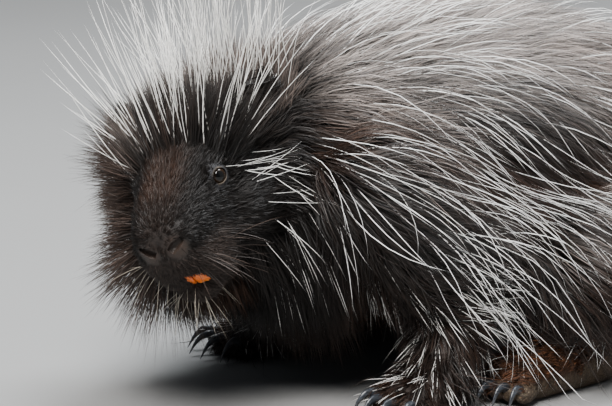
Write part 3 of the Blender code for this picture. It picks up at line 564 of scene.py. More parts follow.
def lie(p, n, legs=True):
    """The way that the coat lies, along the skin. Long hairs pass over the legs."""
    x, _, z = parts(p)
    none = np.zeros_like(x)
    flank = np.sqrt(1 - np.clip(n[..., 2], 0, 1) ** 2)
    fall = flank**0.7 * (0.72 + 0.78 * step(-0.07, 0.10, x)) * step(-0.75, -0.2, n[..., 2])
    f, s, u = parts(to_head(p))
    drop = 0.10 - 0.65 * fade(-0.020, 0.008, u)
    drop = drop - 0.6 * fade(-0.050, 0.020, f) * fade(-0.060, -0.042, u)
    head = np.stack([none - 1, 0.22 * np.sign(s) * np.minimum(1, np.abs(s) / 0.01), drop], -1)
    arm_x = 1.1 * step(0.038, 0.062, z) - 0.35 * fade(0.015, 0.035, z)
    arm = np.stack([arm_x, none, -1 + 0.85 * step(0.040, 0.070, z)], -1)
    found = unit(np.stack([none + 1, none, -fall], -1))
    for share, way in (
        (tail_share(p), np.array([1.0, 0.12, -0.25])),
        (foreleg_share(p) * legs, arm),
        (hindleg_share(p) * legs, np.array([-1.0, 0.0, -0.30])),
        (head_share(p), head @ HEAD_NP.T),
    ):
        found = found * (1 - share[..., None]) + unit(way) * share[..., None]
    return unit(found - n * np.sum(found * n, -1, keepdims=True))


def wave(p, scale, seed):
    """Smooth noise between 0 and 1."""
    draw = np.random.default_rng(seed)
    total = np.zeros(p.shape[:-1])
    for _ in range(6):
        way = draw.normal(size=3) * scale
        total = total + np.sin(p @ way + draw.uniform(0, 6.28))
    return np.clip(0.5 + total / 7, 0, 1)


def markings_and_sheen(p, n):
    """Shares of rust and of grey in the coat. Grey on upward-facing coat behind the head is painted sky
    sheen; grey on the lips is the coat's own colour.
    """
    x = p[..., 0]
    f, s, u = parts(folded(p))
    head, arm, leg = head_share(p), foreleg_share(p), hindleg_share(p)
    bridge = fade(0.006, 0.018, s) * step(-0.040, 0.000, u)
    bridge = bridge * step(-0.02, 0.02, f) * (1 - 0.65 * step(0.030, 0.048, f))
    chin = step(0.050, 0.057, -u) * step(0.004, 0.014, f) * fade(0.030, 0.040, f)
    lips = step(0.016, 0.034, f) * step(0.016, 0.026, -u)
    rust = head * np.maximum(0.36 * bridge + 0.45 * chin, 0.20 * lips)
    for patch in (0.95 * leg, 0.22 * arm * wave(p, 60, 5), 0.30 * (1 - head) * wave(p, 45, 9) ** 2):
        rust = np.maximum(rust, patch)
    # painted sky sheen: coat behind the head turns grey the more it faces up
    grey = (1 - head) * (1 - arm) * (1 - leg) * step(0.44, 0.97, n[..., 2]) * step(-0.20, -0.14, x)
    grey = grey * (0.55 + 0.45 * wave(p, 30, 3)) * (1 - 0.4 * step(0.10, 0.20, x))
    return rust, np.maximum(grey, 0.13 * head * lips)


# Strands: tufts of tapered blades or round hairs


def read(items, key, width, kind=float):
    """One value of every item, in rows."""
    values = np.empty(len(items) * width, dtype=kind)
    items.foreach_get(key, values)
    return values.reshape(-1, width)


def mesh_arrays(thing):
    mesh = thing.data
    mesh.calc_loop_triangles()
    tris = read(mesh.loop_triangles, "vertices", 3, np.int64)
    return read(mesh.vertices, "co", 3), read(mesh.vertices, "normal", 3), tris


def copied(thing):
    return linked(thing.name, thing.data.copy())


class Ground:
    """The skin as something to set tufts on."""

    def __init__(self, skin):
        self.verts, self.normals, self.tris = mesh_arrays(skin)
        a, b, c = (self.verts[self.tris[:, i]] for i in range(3))
        self.areas = np.linalg.norm(np.cross(b - a, c - a), axis=1) / 2
        self.centres = (a + b + c) / 3
        self.outs = unit(self.normals[self.tris].mean(axis=1))
        self.tree = BVHTree.FromPolygons(self.verts.tolist(), self.tris.tolist())
        self.map_tree, self.map_tris, self.map_uvs = self.unwrap(skin)
        self.even_tree, self.even_outs = self.evened(skin)

    def evened(self, skin):
        """A smoother copy of the body, filled out between arm and thigh, for long hairs to follow."""
        bridges = [
            ellipsoid("bridge", Vector((0.0, side_sign(side) * 0.062, 0.080)), (0.088, 0.050, 0.052))
            for side in SIDES
        ]
        form = joined("even", [copied(skin), *bridges])
        melted(form, 0.005, 90)
        verts, normals, tris = mesh_arrays(form)
        bpy.data.objects.remove(form)
        return BVHTree.FromPolygons(verts.tolist(), tris.tolist()), normals[tris].mean(axis=1)

    def over(self, points):
        """The nearest places of the smoother form, with the way out."""
        hits = [self.even_tree.find_nearest(Vector(point)) for point in points]
        return np.array([hit[0] for hit in hits]), unit(self.even_outs[[hit[2] for hit in hits]])

    def nearest(self, points):
        """The nearest places of the skin, with the way out."""
        hits = [self.tree.find_nearest(Vector(point)) for point in points]
        return np.array([hit[0] for hit in hits]), np.array([hit[1] for hit in hits])

    def unwrap(self, skin):
        """An unwrap of a coarser copy of the skin, for the places of tufts in the baking map."""
        coarse = copied(skin)
        thin = coarse.modifiers.new("thin", "DECIMATE")
        thin.ratio = 5000 / len(self.tris)
        apply_modifiers(coarse)
        coarse.data.uv_layers.new(name="OFBake")
        bpy.ops.object.select_all(action="DESELECT")
        bpy.context.view_layer.objects.active = coarse
        coarse.select_set(True)
        bpy.ops.object.mode_set(mode="EDIT")
        bpy.ops.mesh.select_all(action="SELECT")
        bpy.ops.uv.smart_project(angle_limit=math.radians(66), island_margin=0.004)
        bpy.ops.object.mode_set(mode="OBJECT")
        verts, _, tris = mesh_arrays(coarse)
        loops = read(coarse.data.loop_triangles, "loops", 3, np.int64)
        uvs = read(coarse.data.uv_layers["OFBake"].data, "uv", 2)
        bpy.data.objects.remove(coarse)
        return BVHTree.FromPolygons(verts.tolist(), tris.tolist()), verts[tris], uvs[loops]

    def baked_at(self, points):
        """The baking map's place of each point."""
        found = np.empty((len(points), 2))
        for i, point in enumerate(points):
            near, _, face, _ = self.map_tree.find_nearest(Vector(point))
            a, b, c = self.map_tris[face]
            v0, v1, v2 = b - a, c - a, np.array(near) - a
            d00, d01, d11 = v0 @ v0, v0 @ v1, v1 @ v1
            d20, d21 = v2 @ v0, v2 @ v1
            area = max(d00 * d11 - d01 * d01, 1e-18)
            v = (d11 * d20 - d01 * d21) / area
            w = (d00 * d21 - d01 * d20) / area
            uv = self.map_uvs[face]
            found[i] = uv[0] * (1 - v - w) + uv[1] * v + uv[2] * w
        return np.clip(found, PATCH, 1 - PATCH)

    def roots(self, count, density):
        """Points on the skin, more of them where density is high, with the way out."""
        weight = self.areas * np.clip(density(self.centres, self.outs), 0, None)
        tri = rng.choice(len(weight), int(count * THIN), p=weight / weight.sum())
        u, v = rng.random(len(tri)), rng.random(len(tri))
        flip = u + v > 1
        u[flip], v[flip] = 1 - u[flip], 1 - v[flip]
        bary = np.stack([1 - u - v, u, v], 1)[:, :, None]
        points = (self.verts[self.tris[tri]] * bary).sum(1)
        return points, unit((self.normals[self.tris[tri]] * bary).sum(1))


def walked(ground, points, outs, length, rise, steps, sway, sink=0.001):
    """Centre lines of tufts that follow the lie of the coat and rise through it."""
    line, faces = [points - outs * sink], [outs]
    foot, out = points, outs
    for k in range(1, steps + 1):
        along = lie(foot, out)
        along = unit(along + np.cross(out, along) * sway[:, None])
        foot, near_out = ground.nearest(foot + along * (length / steps)[:, None])
        out = unit(out * 0.6 + near_out * 0.4)
        height = rise * (1 - (1 - k / steps) ** 1.6)
        line.append(foot + out * height[:, None])
        faces.append(out)
    return np.stack(line, 1), np.stack(faces, 1)


def draped(ground, points, outs, length, rise, steps, sway, curl, power):
    """Centre lines of long hairs over the body's smoother form, hanging free under its sides."""
    line, faces = [points - outs * 0.002], [outs]
    foot, out = ground.over(points)
    over = np.clip(np.sum((points - foot) * out, 1), 0, 0.03)
    place, before = points, None
    for k in range(1, steps + 1):
        t = k / steps
        along = lie(foot, out, False)
        along = unit(along + np.cross(out, along) * (sway + curl * (t - 0.3))[:, None])
        foot, near_out = ground.over(foot + along * (length / steps)[:, None])
        out = unit(out * 0.6 + near_out * 0.4)
        height = over * (1 - 0.5 * t) + rise * (1 - (1 - t) ** power)
        heading = unit(foot + out * height[:, None] - place)
        if before is not None:
            free = 1 - step(-0.70, -0.20, out[:, 2]) * step(0.040, 0.070, place[:, 2])
            free = free[:, None]
            heading = unit(heading * (1 - free) + unit(before + DOWN * 0.12) * free)
            heading = unit(heading * 0.50 + before * 0.50)
        place = place + heading * (length / steps)[:, None]
        before = heading
        line.append(place)
        faces.append(out)
    return unkinked(np.stack(line, 1), np.stack(faces, 1))


def unkinked(line, faces):
    """Only the lines without a sharp turn, as where the body folds, and not far out at the side."""
    way = unit(np.diff(line[:, 1:], axis=1))
    kept = (np.sum(way[:, 1:] * way[:, :-1], -1) > 0.84).all(axis=1)
    kept &= (np.abs(line[..., 1] + SHIFT_NP[1]) < 0.177).all(axis=1)
    return line[kept], faces[kept]


def flung(points, outs, length, bend, steps, sway, lift=None, start=None, sink=0.002, way=lie, droop=0.0):
    """Centre lines of hairs that stand off the skin and bend towards the lie and the ground."""
    along = way(points, outs)
    along = unit(along + np.cross(outs, along) * rng.normal(0, sway, len(points))[:, None])
    if start is None:
        start = along * np.cos(lift)[:, None] + outs * np.sin(lift)[:, None]
    line, faces = [points - start * sink], [outs]
    place = points.copy()
    for k in range(1, steps + 1):
        t = k / steps
        heading = start + along * (bend * t)
        heading[:, 2] -= droop * t * t
        heading = unit(heading)
        place = place + heading * (length / steps)[:, None]
        line.append(place.copy())
        face = outs - heading * np.sum(outs * heading, 1, keepdims=True)
        faces.append(unit(face))
    return np.stack(line, 1), np.stack(faces, 1)


def bunched(line, faces, blades, spread, gather, fray):
    """Several strands round each tuft's centre line, gathered towards its tip."""
    count, rows = line.shape[:2]
    along = unit(np.gradient(line, axis=1))
    side = unit(np.cross(along, faces))
    out = np.cross(side, along)
    t = np.linspace(0, 1, rows)
    each = (count, blades, 1)
    wide = rng.normal(size=each)
    tall = rng.normal(size=each) * 0.5
    narrow = (1 - gather * t)[None, None] * spread
    stray = rng.normal(size=each) * np.broadcast_to(fray, count)[:, None, None] * t**1.5
    short = rng.uniform(0.78, 1.0, size=each)
    across = (wide * narrow + stray)[..., None]
    up = (tall * narrow * np.minimum(1, t * 3))[..., None]
    points = line[:, None] + side[:, None] * across + out[:, None] * up
    points = points[:, :, :1] + (points - points[:, :, :1]) * short[..., None]
    return points.reshape(count * blades, rows, 3), np.repeat(out, blades, axis=0)


def strand_piece(name, points, faces, width, profile, sides, marks, places, blades):
    """One mesh of tapered strands. marks are rust, grey and tone; places are the baking map's."""
    count, rows = points.shape[:2]
    along = unit(np.gradient(points, axis=1))
    side = unit(np.cross(along, faces))
    out = np.cross(side, along)
    turn = rng.normal(size=(count, 1, 1)) * 0.5
    side, out = side * np.cos(turn) + out * np.sin(turn), out * np.cos(turn) - side * np.sin(turn)
    side, out, body = side[:, :-1], out[:, :-1], points[:, :-1]
    half = (width[:, None] * profile[None, : rows - 1] / 2)[..., None]
    corners = FLAT if sides == 2 else ROUND
    ring = np.stack([body + (side * c + out * s) * half for c, s in corners], 2)
    verts = np.concatenate([ring.reshape(count, -1, 3), points[:, -1:]], 1)
    verts[..., 2] = np.maximum(verts[..., 2], HAIR_LEVEL)
    per = (rows - 1) * sides + 1
    edges = [(k, (k + 1) % sides) for k in range(sides if sides > 2 else 1)]
    top = (rows - 2) * sides
    quads = [(i + a, i + b, i + sides + b, i + sides + a) for i in range(0, top, sides) for a, b in edges]
    tips = [(top + a, top + b, per - 1) for a, b in edges]
    pattern = np.concatenate([np.ravel(quads), np.ravel(tips)])
    loops = (np.arange(count)[:, None] * per + pattern[None]).reshape(-1)
    totals = np.tile(np.array([4] * len(quads) + [3] * len(tips)), count)
    mesh = bpy.data.meshes.new(name)
    mesh.vertices.add(count * per)
    mesh.vertices.foreach_set("co", (verts.reshape(-1, 3) + SHIFT_NP).reshape(-1).astype(np.float32))
    mesh.loops.add(len(loops))
    mesh.loops.foreach_set("vertex_index", loops.astype(np.int32))
    mesh.polygons.add(len(totals))
    starts = np.concatenate([[0], np.cumsum(totals)[:-1]])
    mesh.polygons.foreach_set("loop_start", starts.astype(np.int32))
    mesh.polygons.foreach_set("use_smooth", np.ones(len(totals), dtype=bool))
    mesh.update(calc_edges=True)
    t = np.concatenate([np.repeat(np.arange(rows - 1), sides), [rows - 1]]) / (rows - 1)
    across = np.concatenate([np.tile(np.linspace(-0.5, 0.5, sides), rows - 1), [0.0]])
    which = np.arange(count) % blades
    u = places[:, None, 0] + PATCH * (((which + 0.5) / blades - 0.5)[:, None] + across[None] * 0.8 / blades)
    v = places[:, None, 1] + PATCH * (t[None] - 0.5) * 0.9
    uv = np.stack([u.reshape(-1), v.reshape(-1)], 1)[loops]
    mesh.uv_layers.new(name="OFBake").data.foreach_set("uv", uv.reshape(-1).astype(np.float32))
    thing = linked(name, mesh)
    attribute(thing, "along", np.tile(t, count))
    attribute(thing, "marks", np.repeat(np.stack(marks, 1), per, axis=0), "FLOAT_VECTOR")
    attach(thing, "root")
    return thing


def strands(name, ground, grown, width, profile, material, sides=2, blades=1, spread=0.0, gather=0.0,
            fray=0.0, marks=None):
    """Makes the pieces of one kind of strand, each under the limit of a coat piece."""
    line, faces = grown
    roots = line[:, 0]
    rust, grey = marks or markings_and_sheen(roots, faces[:, 0])
    tone = rng.random(len(roots))
    places = np.repeat(ground.baked_at(roots), blades, axis=0)
    points, fronts = bunched(line, faces, blades, spread, gather, fray)
    rows = points.shape[1]
    each = (2 if sides == 2 else 6) * (rows - 2) + (1 if sides == 2 else 3)
    limit = PIECE_LIMIT // (each * blades) * blades
    rust, grey, tone = (np.repeat(v, blades) for v in (rust, grey, tone))
    tone = np.clip(tone * 0.5 + rng.random(len(tone)) * 0.5, 0, 1)
    width = np.repeat(np.broadcast_to(width, len(roots)), blades) * rng.uniform(0.8, 1.2, len(points))
    for number, start in enumerate(range(0, len(points), limit)):
        part = slice(start, start + limit)
        piece = strand_piece(
            f"{name}_{number + 1}", points[part], fronts[part], width[part], profile, sides,
            (rust[part], grey[part], tone[part]), places[part], blades,
        )
        piece.data.materials.append(material)


# Materials


class Nodes:
    """A small helper for material trees."""

    def __init__(self, name):
        self.material = bpy.data.materials.new(name)
        self.material.use_nodes = True
        self.tree = self.material.node_tree
        self.shader = self.tree.nodes["Principled BSDF"]

    def feed(self, socket, value):
        """Links a socket to another, or sets its number or colour."""
        if isinstance(value, bpy.types.NodeSocket):
            self.tree.links.new(value, socket)
        else:
            socket.default_value = (*value, 1)[:4] if isinstance(value, tuple) else value

    def add(self, kind, *values, **named):
        node = self.tree.nodes.new(kind)
        for i, value in enumerate(values):
            self.feed(node.inputs[i], value)
        for name, value in named.items():
            self.feed(node.inputs[name], value)
        return node

    def set(self, **values):
        for name, value in values.items():
            self.feed(self.shader.inputs[name.replace("_", " ")], value)

    def attribute(self, name, output="Fac"):
        node = self.add("ShaderNodeAttribute")
        node.attribute_name = name
        return node.outputs[output]

    def split(self, vector):
        return self.add("ShaderNodeSeparateXYZ", vector).outputs

    def mix(self, factor, a, b, kind="MIX"):
        node = self.add("ShaderNodeMix")
        node.data_type = "RGBA"
        node.blend_type = kind
        for value, number in ((factor, 0), (a, 6), (b, 7)):
            self.feed(node.inputs[number], value)
        return node.outputs[2]

    def math(self, kind, a, b):
        node = self.add("ShaderNodeMath", a, b)
        node.operation = kind
        return node.outputs[0]

    def range(self, value, low, high, to_low=0.0, to_high=1.0):
        return self.add("ShaderNodeMapRange", value, low, high, to_low, to_high).outputs[0]

    def place(self):
        return self.add("ShaderNodeTexCoord").outputs["Object"]

    def noise(self, scale, detail=3, roughness=0.5, stretch=None):
        place = self.place()
        if stretch:
            mapping = self.add("ShaderNodeMapping", place)
            mapping.inputs["Scale"].default_value = stretch
            place = mapping.outputs[0]
        return self.add("ShaderNodeTexNoise", Vector=place, Scale=scale, Detail=detail,
                        Roughness=roughness).outputs["Fac"]

    def cells(self, scale):
        return self.add("ShaderNodeTexVoronoi", Vector=self.place(), Scale=scale).outputs["Distance"]

    def bump(self, height, strength, distance=0.001, before=None):
        node = self.add("ShaderNodeBump", Strength=strength, Distance=distance, Height=height)
        if before:
            self.feed(node.inputs["Normal"], before)
        return node.outputs[0]


DARK = (0.0092, 0.0076, 0.0068)
ROOT = (0.0030, 0.0025, 0.0022)
RUST = (0.070, 0.030, 0.014)
# grey of the lips, and painted sky sheen on upward-facing coat
GREY_AND_SHEEN = (0.260, 0.241, 0.226)
CREAM = (0.950, 0.945, 0.930)


def coat_colour(nodes, marks):
    """The coat's colour at its surface, the same for skin and strands, with painted sky sheen mixed in as
    grey where the coat faces up.
    """
    rust, grey, _ = nodes.split(marks)
    return nodes.mix(rust, nodes.mix(grey, DARK, GREY_AND_SHEEN), RUST)


def fur_material(name, lift=1.0, shine=0.22):
    nodes = Nodes(name)
    marks = nodes.attribute("marks", "Vector")
    tone = nodes.split(marks)[2]
    colour = coat_colour(nodes, marks)
    light = nodes.mix(1.0, colour, (3.1 * lift, 2.9 * lift, 2.8 * lift), "MULTIPLY")
    dim = nodes.mix(1.0, colour, (0.45, 0.45, 0.46), "MULTIPLY")
    colour = nodes.mix(nodes.math("POWER", tone, 2.2), dim, light)
    rooted = nodes.mix(nodes.range(nodes.attribute("along"), 0.0, 0.55), ROOT, colour)
    relief = nodes.bump(nodes.noise(2400, 1), 0.15, 0.0003)
    nodes.set(Base_Color=rooted, Roughness=0.48, Specular_IOR_Level=shine, Normal=relief)
    return nodes.material


def quill_material(name, dark_end=0.30, pale=CREAM, tip=0.0):
    nodes = Nodes(name)
    tone = nodes.split(nodes.attribute("marks", "Vector"))[2]
    along = nodes.attribute("along")
    shade = nodes.mix(tone, tuple(c * 0.82 for c in pale), pale)
    stain = nodes.mix(nodes.range(nodes.noise(900, 2), 0.50, 0.80, 0.0, 0.4), shade, (0.56, 0.49, 0.40))
    start = nodes.math("SUBTRACT", along, nodes.math("MULTIPLY", tone, 0.12))
    colour = nodes.mix(nodes.range(start, dark_end * 0.5, dark_end), (0.045, 0.032, 0.025), stain)
    if tip:
        colour = nodes.mix(nodes.range(along, 1 - tip, 1.0), colour, (0.035, 0.028, 0.024))
    relief = nodes.bump(nodes.noise(1500, 2), 0.2, 0.0002)
    nodes.set(Base_Color=colour, Roughness=0.36, Specular_IOR_Level=0.5, Normal=relief)
    return nodes.material


def skin_material():
    """Dark furred skin, bare and grey round the eyes and nose, pebbled under the feet."""
    nodes = Nodes("skin")
    eye, nose, sole = nodes.split(nodes.attribute("bare", "Vector"))
    fine = nodes.noise(700, 4, 0.6)
    broad = nodes.noise(60, 3)
    pebbles = nodes.cells(520)
    colour = coat_colour(nodes, nodes.attribute("marks", "Vector"))
    colour = nodes.mix(nodes.range(fine, 0.3, 0.7, 0.35, 0.85), (0.010, 0.008, 0.007), colour)
    colour = nodes.mix(eye, colour, nodes.mix(broad, (0.014, 0.014, 0.016), (0.030, 0.030, 0.034)))
    colour = nodes.mix(nose, colour, nodes.mix(broad, (0.014, 0.009, 0.007), (0.046, 0.030, 0.022)))
    sole_skin = nodes.mix(nodes.range(pebbles, 0.1, 0.6), (0.150, 0.118, 0.077), (0.040, 0.030, 0.021))
    sole_skin = nodes.mix(nodes.range(broad, 0.35, 0.7), sole_skin, (0.070, 0.045, 0.026))
    colour = nodes.mix(sole, colour, sole_skin)
    colour = nodes.mix(nodes.attribute("rim"), colour, (0.085, 0.066, 0.047))
    rough = nodes.range(nose, 0.0, 1.0, 0.75, 0.42)
    grain = nodes.mix(sole, (0.5, 0.5, 0.5), nodes.mix(1.0, pebbles, (1, 1, 1), "MULTIPLY"))
    relief = nodes.bump(grain, 0.7, 0.0012, nodes.bump(fine, 0.6, 0.0010))
    nodes.set(Base_Color=colour, Roughness=rough, Specular_IOR_Level=0.35, Normal=relief)
    return nodes.material


def eye_material():
    """A dark brown iris round a wide pupil under a wet surface."""
    nodes = Nodes("eye")
    place = nodes.attribute("iris")
    lines = nodes.noise(900, 3)
    iris = nodes.mix(lines, (0.004, 0.002, 0.001), (0.026, 0.012, 0.004))
    colour = nodes.mix(nodes.range(place, 0.40, 0.46), (0.0006, 0.0006, 0.0006), iris)
    colour = nodes.mix(nodes.range(place, 0.60, 0.68), colour, (0.010, 0.007, 0.006))
    nodes.set(Base_Color=colour, Roughness=0.30, Specular_IOR_Level=0.02, Coat_Weight=1.0,
              Coat_Roughness=0.02, Coat_IOR=1.42, Normal=nodes.bump(lines, 0.05, 0.0002))
    return nodes.material


def claw_material():
    nodes = Nodes("claw")
    along = nodes.attribute("along")
    grain = nodes.noise(260, 4, 0.6, (0.35, 3.0, 3.0))
    colour = nodes.mix(nodes.range(grain, 0.35, 0.7), (0.011, 0.013, 0.016), (0.056, 0.064, 0.078))
    colour = nodes.mix(nodes.range(along, 0.0, 0.2, 0.6, 0.0), colour, (0.058, 0.042, 0.031))
    colour = nodes.mix(nodes.range(along, 0.75, 1.0, 0.0, 0.5), colour, (0.120, 0.110, 0.095))
    nodes.set(Base_Color=colour, Roughness=0.30, Specular_IOR_Level=0.5, Coat_Weight=0.2,
              Coat_Roughness=0.2, Normal=nodes.bump(grain, 0.35, 0.0004))
    return nodes.material


def tooth_material():
    nodes = Nodes("tooth")
    grain = nodes.noise(900, 4, 0.6, (3.0, 3.0, 0.6))
    colour = nodes.mix(nodes.range(grain, 0.3, 0.7), (0.780, 0.115, 0.002), (0.900, 0.190, 0.005))
    edge = nodes.range(nodes.attribute("along"), 0.86, 1.0, 0.0, 0.5)
    colour = nodes.mix(edge, colour, (0.90, 0.42, 0.10))
    nodes.set(Base_Color=colour, Roughness=0.34, Coat_Weight=0.25, Coat_Roughness=0.15,
              Subsurface_Weight=0.05, Normal=nodes.bump(grain, 0.2, 0.0003))
    return nodes.material


# Pieces


def attribute(thing, name, values, kind="FLOAT"):
    data = thing.data.attributes.new(name, kind, "POINT").data
    data.foreach_set("value" if kind == "FLOAT" else "vector", values.reshape(-1).astype(np.float32))


def shares_along(thing, rings):
    """Marks how far along a lofted thing each of its points is."""
    shares = np.repeat(np.arange(len(rings)) / (len(rings) - 1), len(rings[0]))
    attribute(thing, "along", np.concatenate([shares, [0.0, 1.0]]))


def eye_distance(p):
    """How far a point is from the nearer eye's axis, and how far out along it."""
    off = folded(p) - np.array(EYE_AT)
    out = off @ np.array(EYE_OUT)
    return np.linalg.norm(off - out[..., None] * np.array(EYE_OUT), axis=-1), out


def nose_share(p):
    """1 on the bare skin round the nostrils."""
    off = folded(p) - np.array(NOSTRIL_AT) + np.array([0, 0, 0.0015])
    return fade(0.0055, 0.0100, np.linalg.norm(off, axis=-1))


def mouth_share(p):
    """1 inside and round the mouth's opening."""
    middle = np.array(OPENING_AT) - np.array([0, 0, 0.0040])
    size = np.array([0.014, 0.0082, 0.0056])
    return fade(0.92, 1.18, np.linalg.norm((to_head(p) - middle) / size, axis=-1))


def sole_share(p):
    """1 on the bare edge and underside of each foot."""
    x, y, z = parts(p)
    level = 0.012 + 0.010 * step(0.02, 0.075, x)
    hind = step(-0.030, -0.020, x) * fade(0.100, 0.110, x)
    hind = hind * fade(level, level + 0.006, z) * step(0.06, 0.07, np.abs(y))
    return np.maximum(hind, fade(-0.03, -0.02, x) * fade(0.003, 0.006, z))


def ear_distance(p):
    """Distance from the nearer ear's centre in its own radii, and how far it is on the cup's side."""
    best, front = np.full(p.shape[:-1], 9.0), np.zeros(p.shape[:-1])
    for side in SIDES:
        off = (p - np.array(in_head(mirrored(EAR_AT, side)))) @ np.array(ear_axes(side))
        size = np.linalg.norm(off / np.array(EAR_SIZE), axis=-1)
        front = np.where(size < best, off[..., 0] / EAR_SIZE[0], front)
        best = np.minimum(best, size)
    return best, front


def dress_skin(skin):
    verts, normals, _ = mesh_arrays(skin)
    # the grey share carries painted sky sheen on upward-facing skin
    rust, grey = markings_and_sheen(verts, normals)
    attribute(skin, "marks", np.stack([rust, grey, np.zeros_like(rust)], 1), "FLOAT_VECTOR")
    off, out = eye_distance(verts)
    eye = fade(0.0075, 0.0115, off) * step(-0.001, 0.003, out)
    bare = np.stack([eye, np.maximum(nose_share(verts), mouth_share(verts)), sole_share(verts)], 1)
    attribute(skin, "bare", bare, "FLOAT_VECTOR")
    attribute(skin, "rim", fade(0.0048, 0.0060, off) * step(0.003, 0.005, out))
    skin.data.materials.clear()
    skin.data.materials.append(skin_material())
    skin.data.transform(Matrix.Translation(SHIFT))
    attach(skin, "root")
    flesh = ["head", "neck", "torso", "tail"]
    for side in SIDES:
        flesh += [f"ear_{side}", f"foreleg_{side}", f"hindleg_{side}", f"forepaw_{side}", f"hindfoot_{side}"]
    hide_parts(*flesh)


def place_piece(thing, material, node):
    outward(thing)
    thing.data.shade_smooth()
    thing.data.materials.clear()
    thing.data.materials.append(material)
    thing.data.transform(Matrix.Translation(SHIFT))
    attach(thing, "root")
    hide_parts(node)


def build_eyes():
    material = eye_material()
    for side in SIDES:
        centre = in_head(mirrored(EYE_AT, side))
        out = HEAD @ mirrored(EYE_OUT, side)
        ball = ellipsoid(f"eyeball_{side}", centre, (EYE_RADIUS,) * 3, detail=5)
        off = mesh_arrays(ball)[0] - np.array(centre)
        ahead = off @ np.array(out)
        away = np.linalg.norm(off - ahead[:, None] * np.array(out), axis=1) / EYE_RADIUS
        bulge = 1 + 0.045 * fade(0.35, 0.80, away) * (ahead > 0)
        verts = np.array(centre) + off * bulge[:, None]
        ball.data.vertices.foreach_set("co", verts.reshape(-1))
        attribute(ball, "iris", np.where(ahead > 0, away, 1.0))
        place_piece(ball, material, f"eye_{side}")


def tooth_ring(f, left, up, wide, deep):
    ring = []
    for c, s in around(20):
        across = left + squarer(c, 0.45) * wide
        back = 18 * (across - BITE_AT) ** 2
        ring.append(in_head((f - squarer(s, 0.60) * deep - back, across, up)))
    return ring


def build_teeth():
    material = tooth_material()
    for side in SIDES:
        for place, rows in (("upper", UPPER_TOOTH), ("lower", LOWER_TOOTH)):
            rows = [[row[0], BITE_AT + mirrored(row, side)[1], *row[2:]] for row in rows]
            rings = [tooth_ring(*row) for row in spline(rows, 5)]
            tooth = loft(f"tooth_{place}_{side}", rings)
            shares_along(tooth, rings)
            place_piece(tooth, material, f"incisor_{place}_{side}")


def claw_rings(root, along, length):
    """Rings of a claw that arches over and drops to the floor."""
    start = root + along * (TOE_LENGTH * 0.95) + Vector((0, 0, CLAW_LIFT))
    drop = start.z - CLAW_CLEAR
    for k in range(CLAW_STEPS + 1):
        t = k / CLAW_STEPS
        reach = length * (0.92 * t - 0.10 * t * t)
        rise = CLAW_ARCH * math.sin(math.pi * t) - drop * t * t
        slope = CLAW_ARCH * math.pi * math.cos(math.pi * t) - 2 * drop * t
        heading = (along * length * (0.92 - 0.2 * t) + Vector((0, 0, slope))).normalized()
        radius = CLAW_RADIUS * max(0.06, 1 - 0.94 * t**1.5)
        centre = start + along * reach + Vector((0, 0, rise))
        yield ring_at(centre, heading, radius * 0.78, radius * 1.15, 16, 2.0)


def build_claws():
    material = claw_material()
    for kind, prefix in (("forepaw", "foreclaw"), ("hindfoot", "hindclaw")):
        for side in SIDES:
            for number, *toe in toe_places(kind, side):
                rings = list(claw_rings(*toe))
                claw = loft(f"claw_{prefix}_{side}_{number}", rings)
                shares_along(claw, rings)
                place_piece(claw, material, f"{prefix}_{side}_{number}")


# The coat


def belly_share(n):
    """The coat's depth, from its share under the belly to all of it above."""
    return 0.30 + 0.70 * step(-1.0, 0.3, n[..., 2])


def furry(p, n):
    """1 where the skin grows hair, 0 on its bare parts."""
    off, out = eye_distance(p)
    ear, front = ear_distance(p)
    bare = fade(0.0062, 0.0090, off) * step(-0.002, 0.002, out)
    for share in (
        fade(0.0080, 0.0092, np.linalg.norm(folded(p) - np.array(EYE_AT), axis=-1)),
        nose_share(p) ** 2 * 0.85,
        mouth_share(p) ** 3,
        sole_share(p),
        fade(1.0, 1.1, ear) * step(0.15, 0.4, front) * 0.9,
    ):
        bare = np.maximum(bare, share)
    return 1 - bare


def face_share(p):
    """1 on the short-haired face."""
    return head_share(p) * step(-0.040, -0.015, to_head(p)[..., 0])


def fur_length(p, n):
    """Length of the undercoat's tufts."""
    z = p[..., 2]
    f, _, u = parts(to_head(p))
    length = (0.044 + 0.016 * step(0.0, 0.7, n[..., 2])) * belly_share(n)
    head = 0.011 + (0.026 + 0.012 * fade(-0.050, -0.010, u)) * fade(-0.070, -0.025, f)
    for share, value in (
        (tail_share(p), 0.030),
        (foreleg_share(p), np.where(z < 0.03, 0.012, 0.017 + 0.014 * step(0.04, 0.09, z))),
        (hindleg_share(p), 0.010 + 0.010 * step(0.02, 0.05, z)),
        (head_share(p), head),
    ):
        length = length * (1 - share) + value * share
    return length


def grouped(p, scale, seed, wide, narrow):
    """Sideways lean that neighbours share, with a little of each hair's own."""
    return (wave(p, scale, seed) - 0.5) * 2 * wide + rng.normal(0, narrow, len(p))


def back_share(p, n):
    """1 where long pale hairs grow: neck, back and flanks."""
    upper = step(-0.35, 0.15, n[..., 2]) * (1 - tail_share(p)) * (1 - head_share(p))
    upper = upper * (1 - 0.7 * foreleg_share(p)) * (1 - hindleg_share(p))
    return upper * step(-0.20, -0.15, p[..., 0])


def crown_share(p, n):
    """1 on the crown, from above the eyes to behind the ears."""
    f, _, u = parts(to_head(p))
    band = step(-0.090, -0.070, f) * fade(-0.022, 0.002, f) * step(1.05, 1.30, ear_distance(p)[0])
    return band * step(-0.006, 0.010, u) * head_share(p)


def cheek_share(p, n):
    """1 on the sides of the head behind the eyes and along the jaw."""
    f, s, u = parts(folded(p))
    back = step(-0.085, -0.065, f) * fade(-0.016, 0.008, f - 0.010 * fade(-0.040, -0.020, u))
    side = step(0.015, 0.026, s) * step(1.05, 1.30, ear_distance(p)[0])
    return back * side * fade(0.000, 0.014, u) * head_share(p)


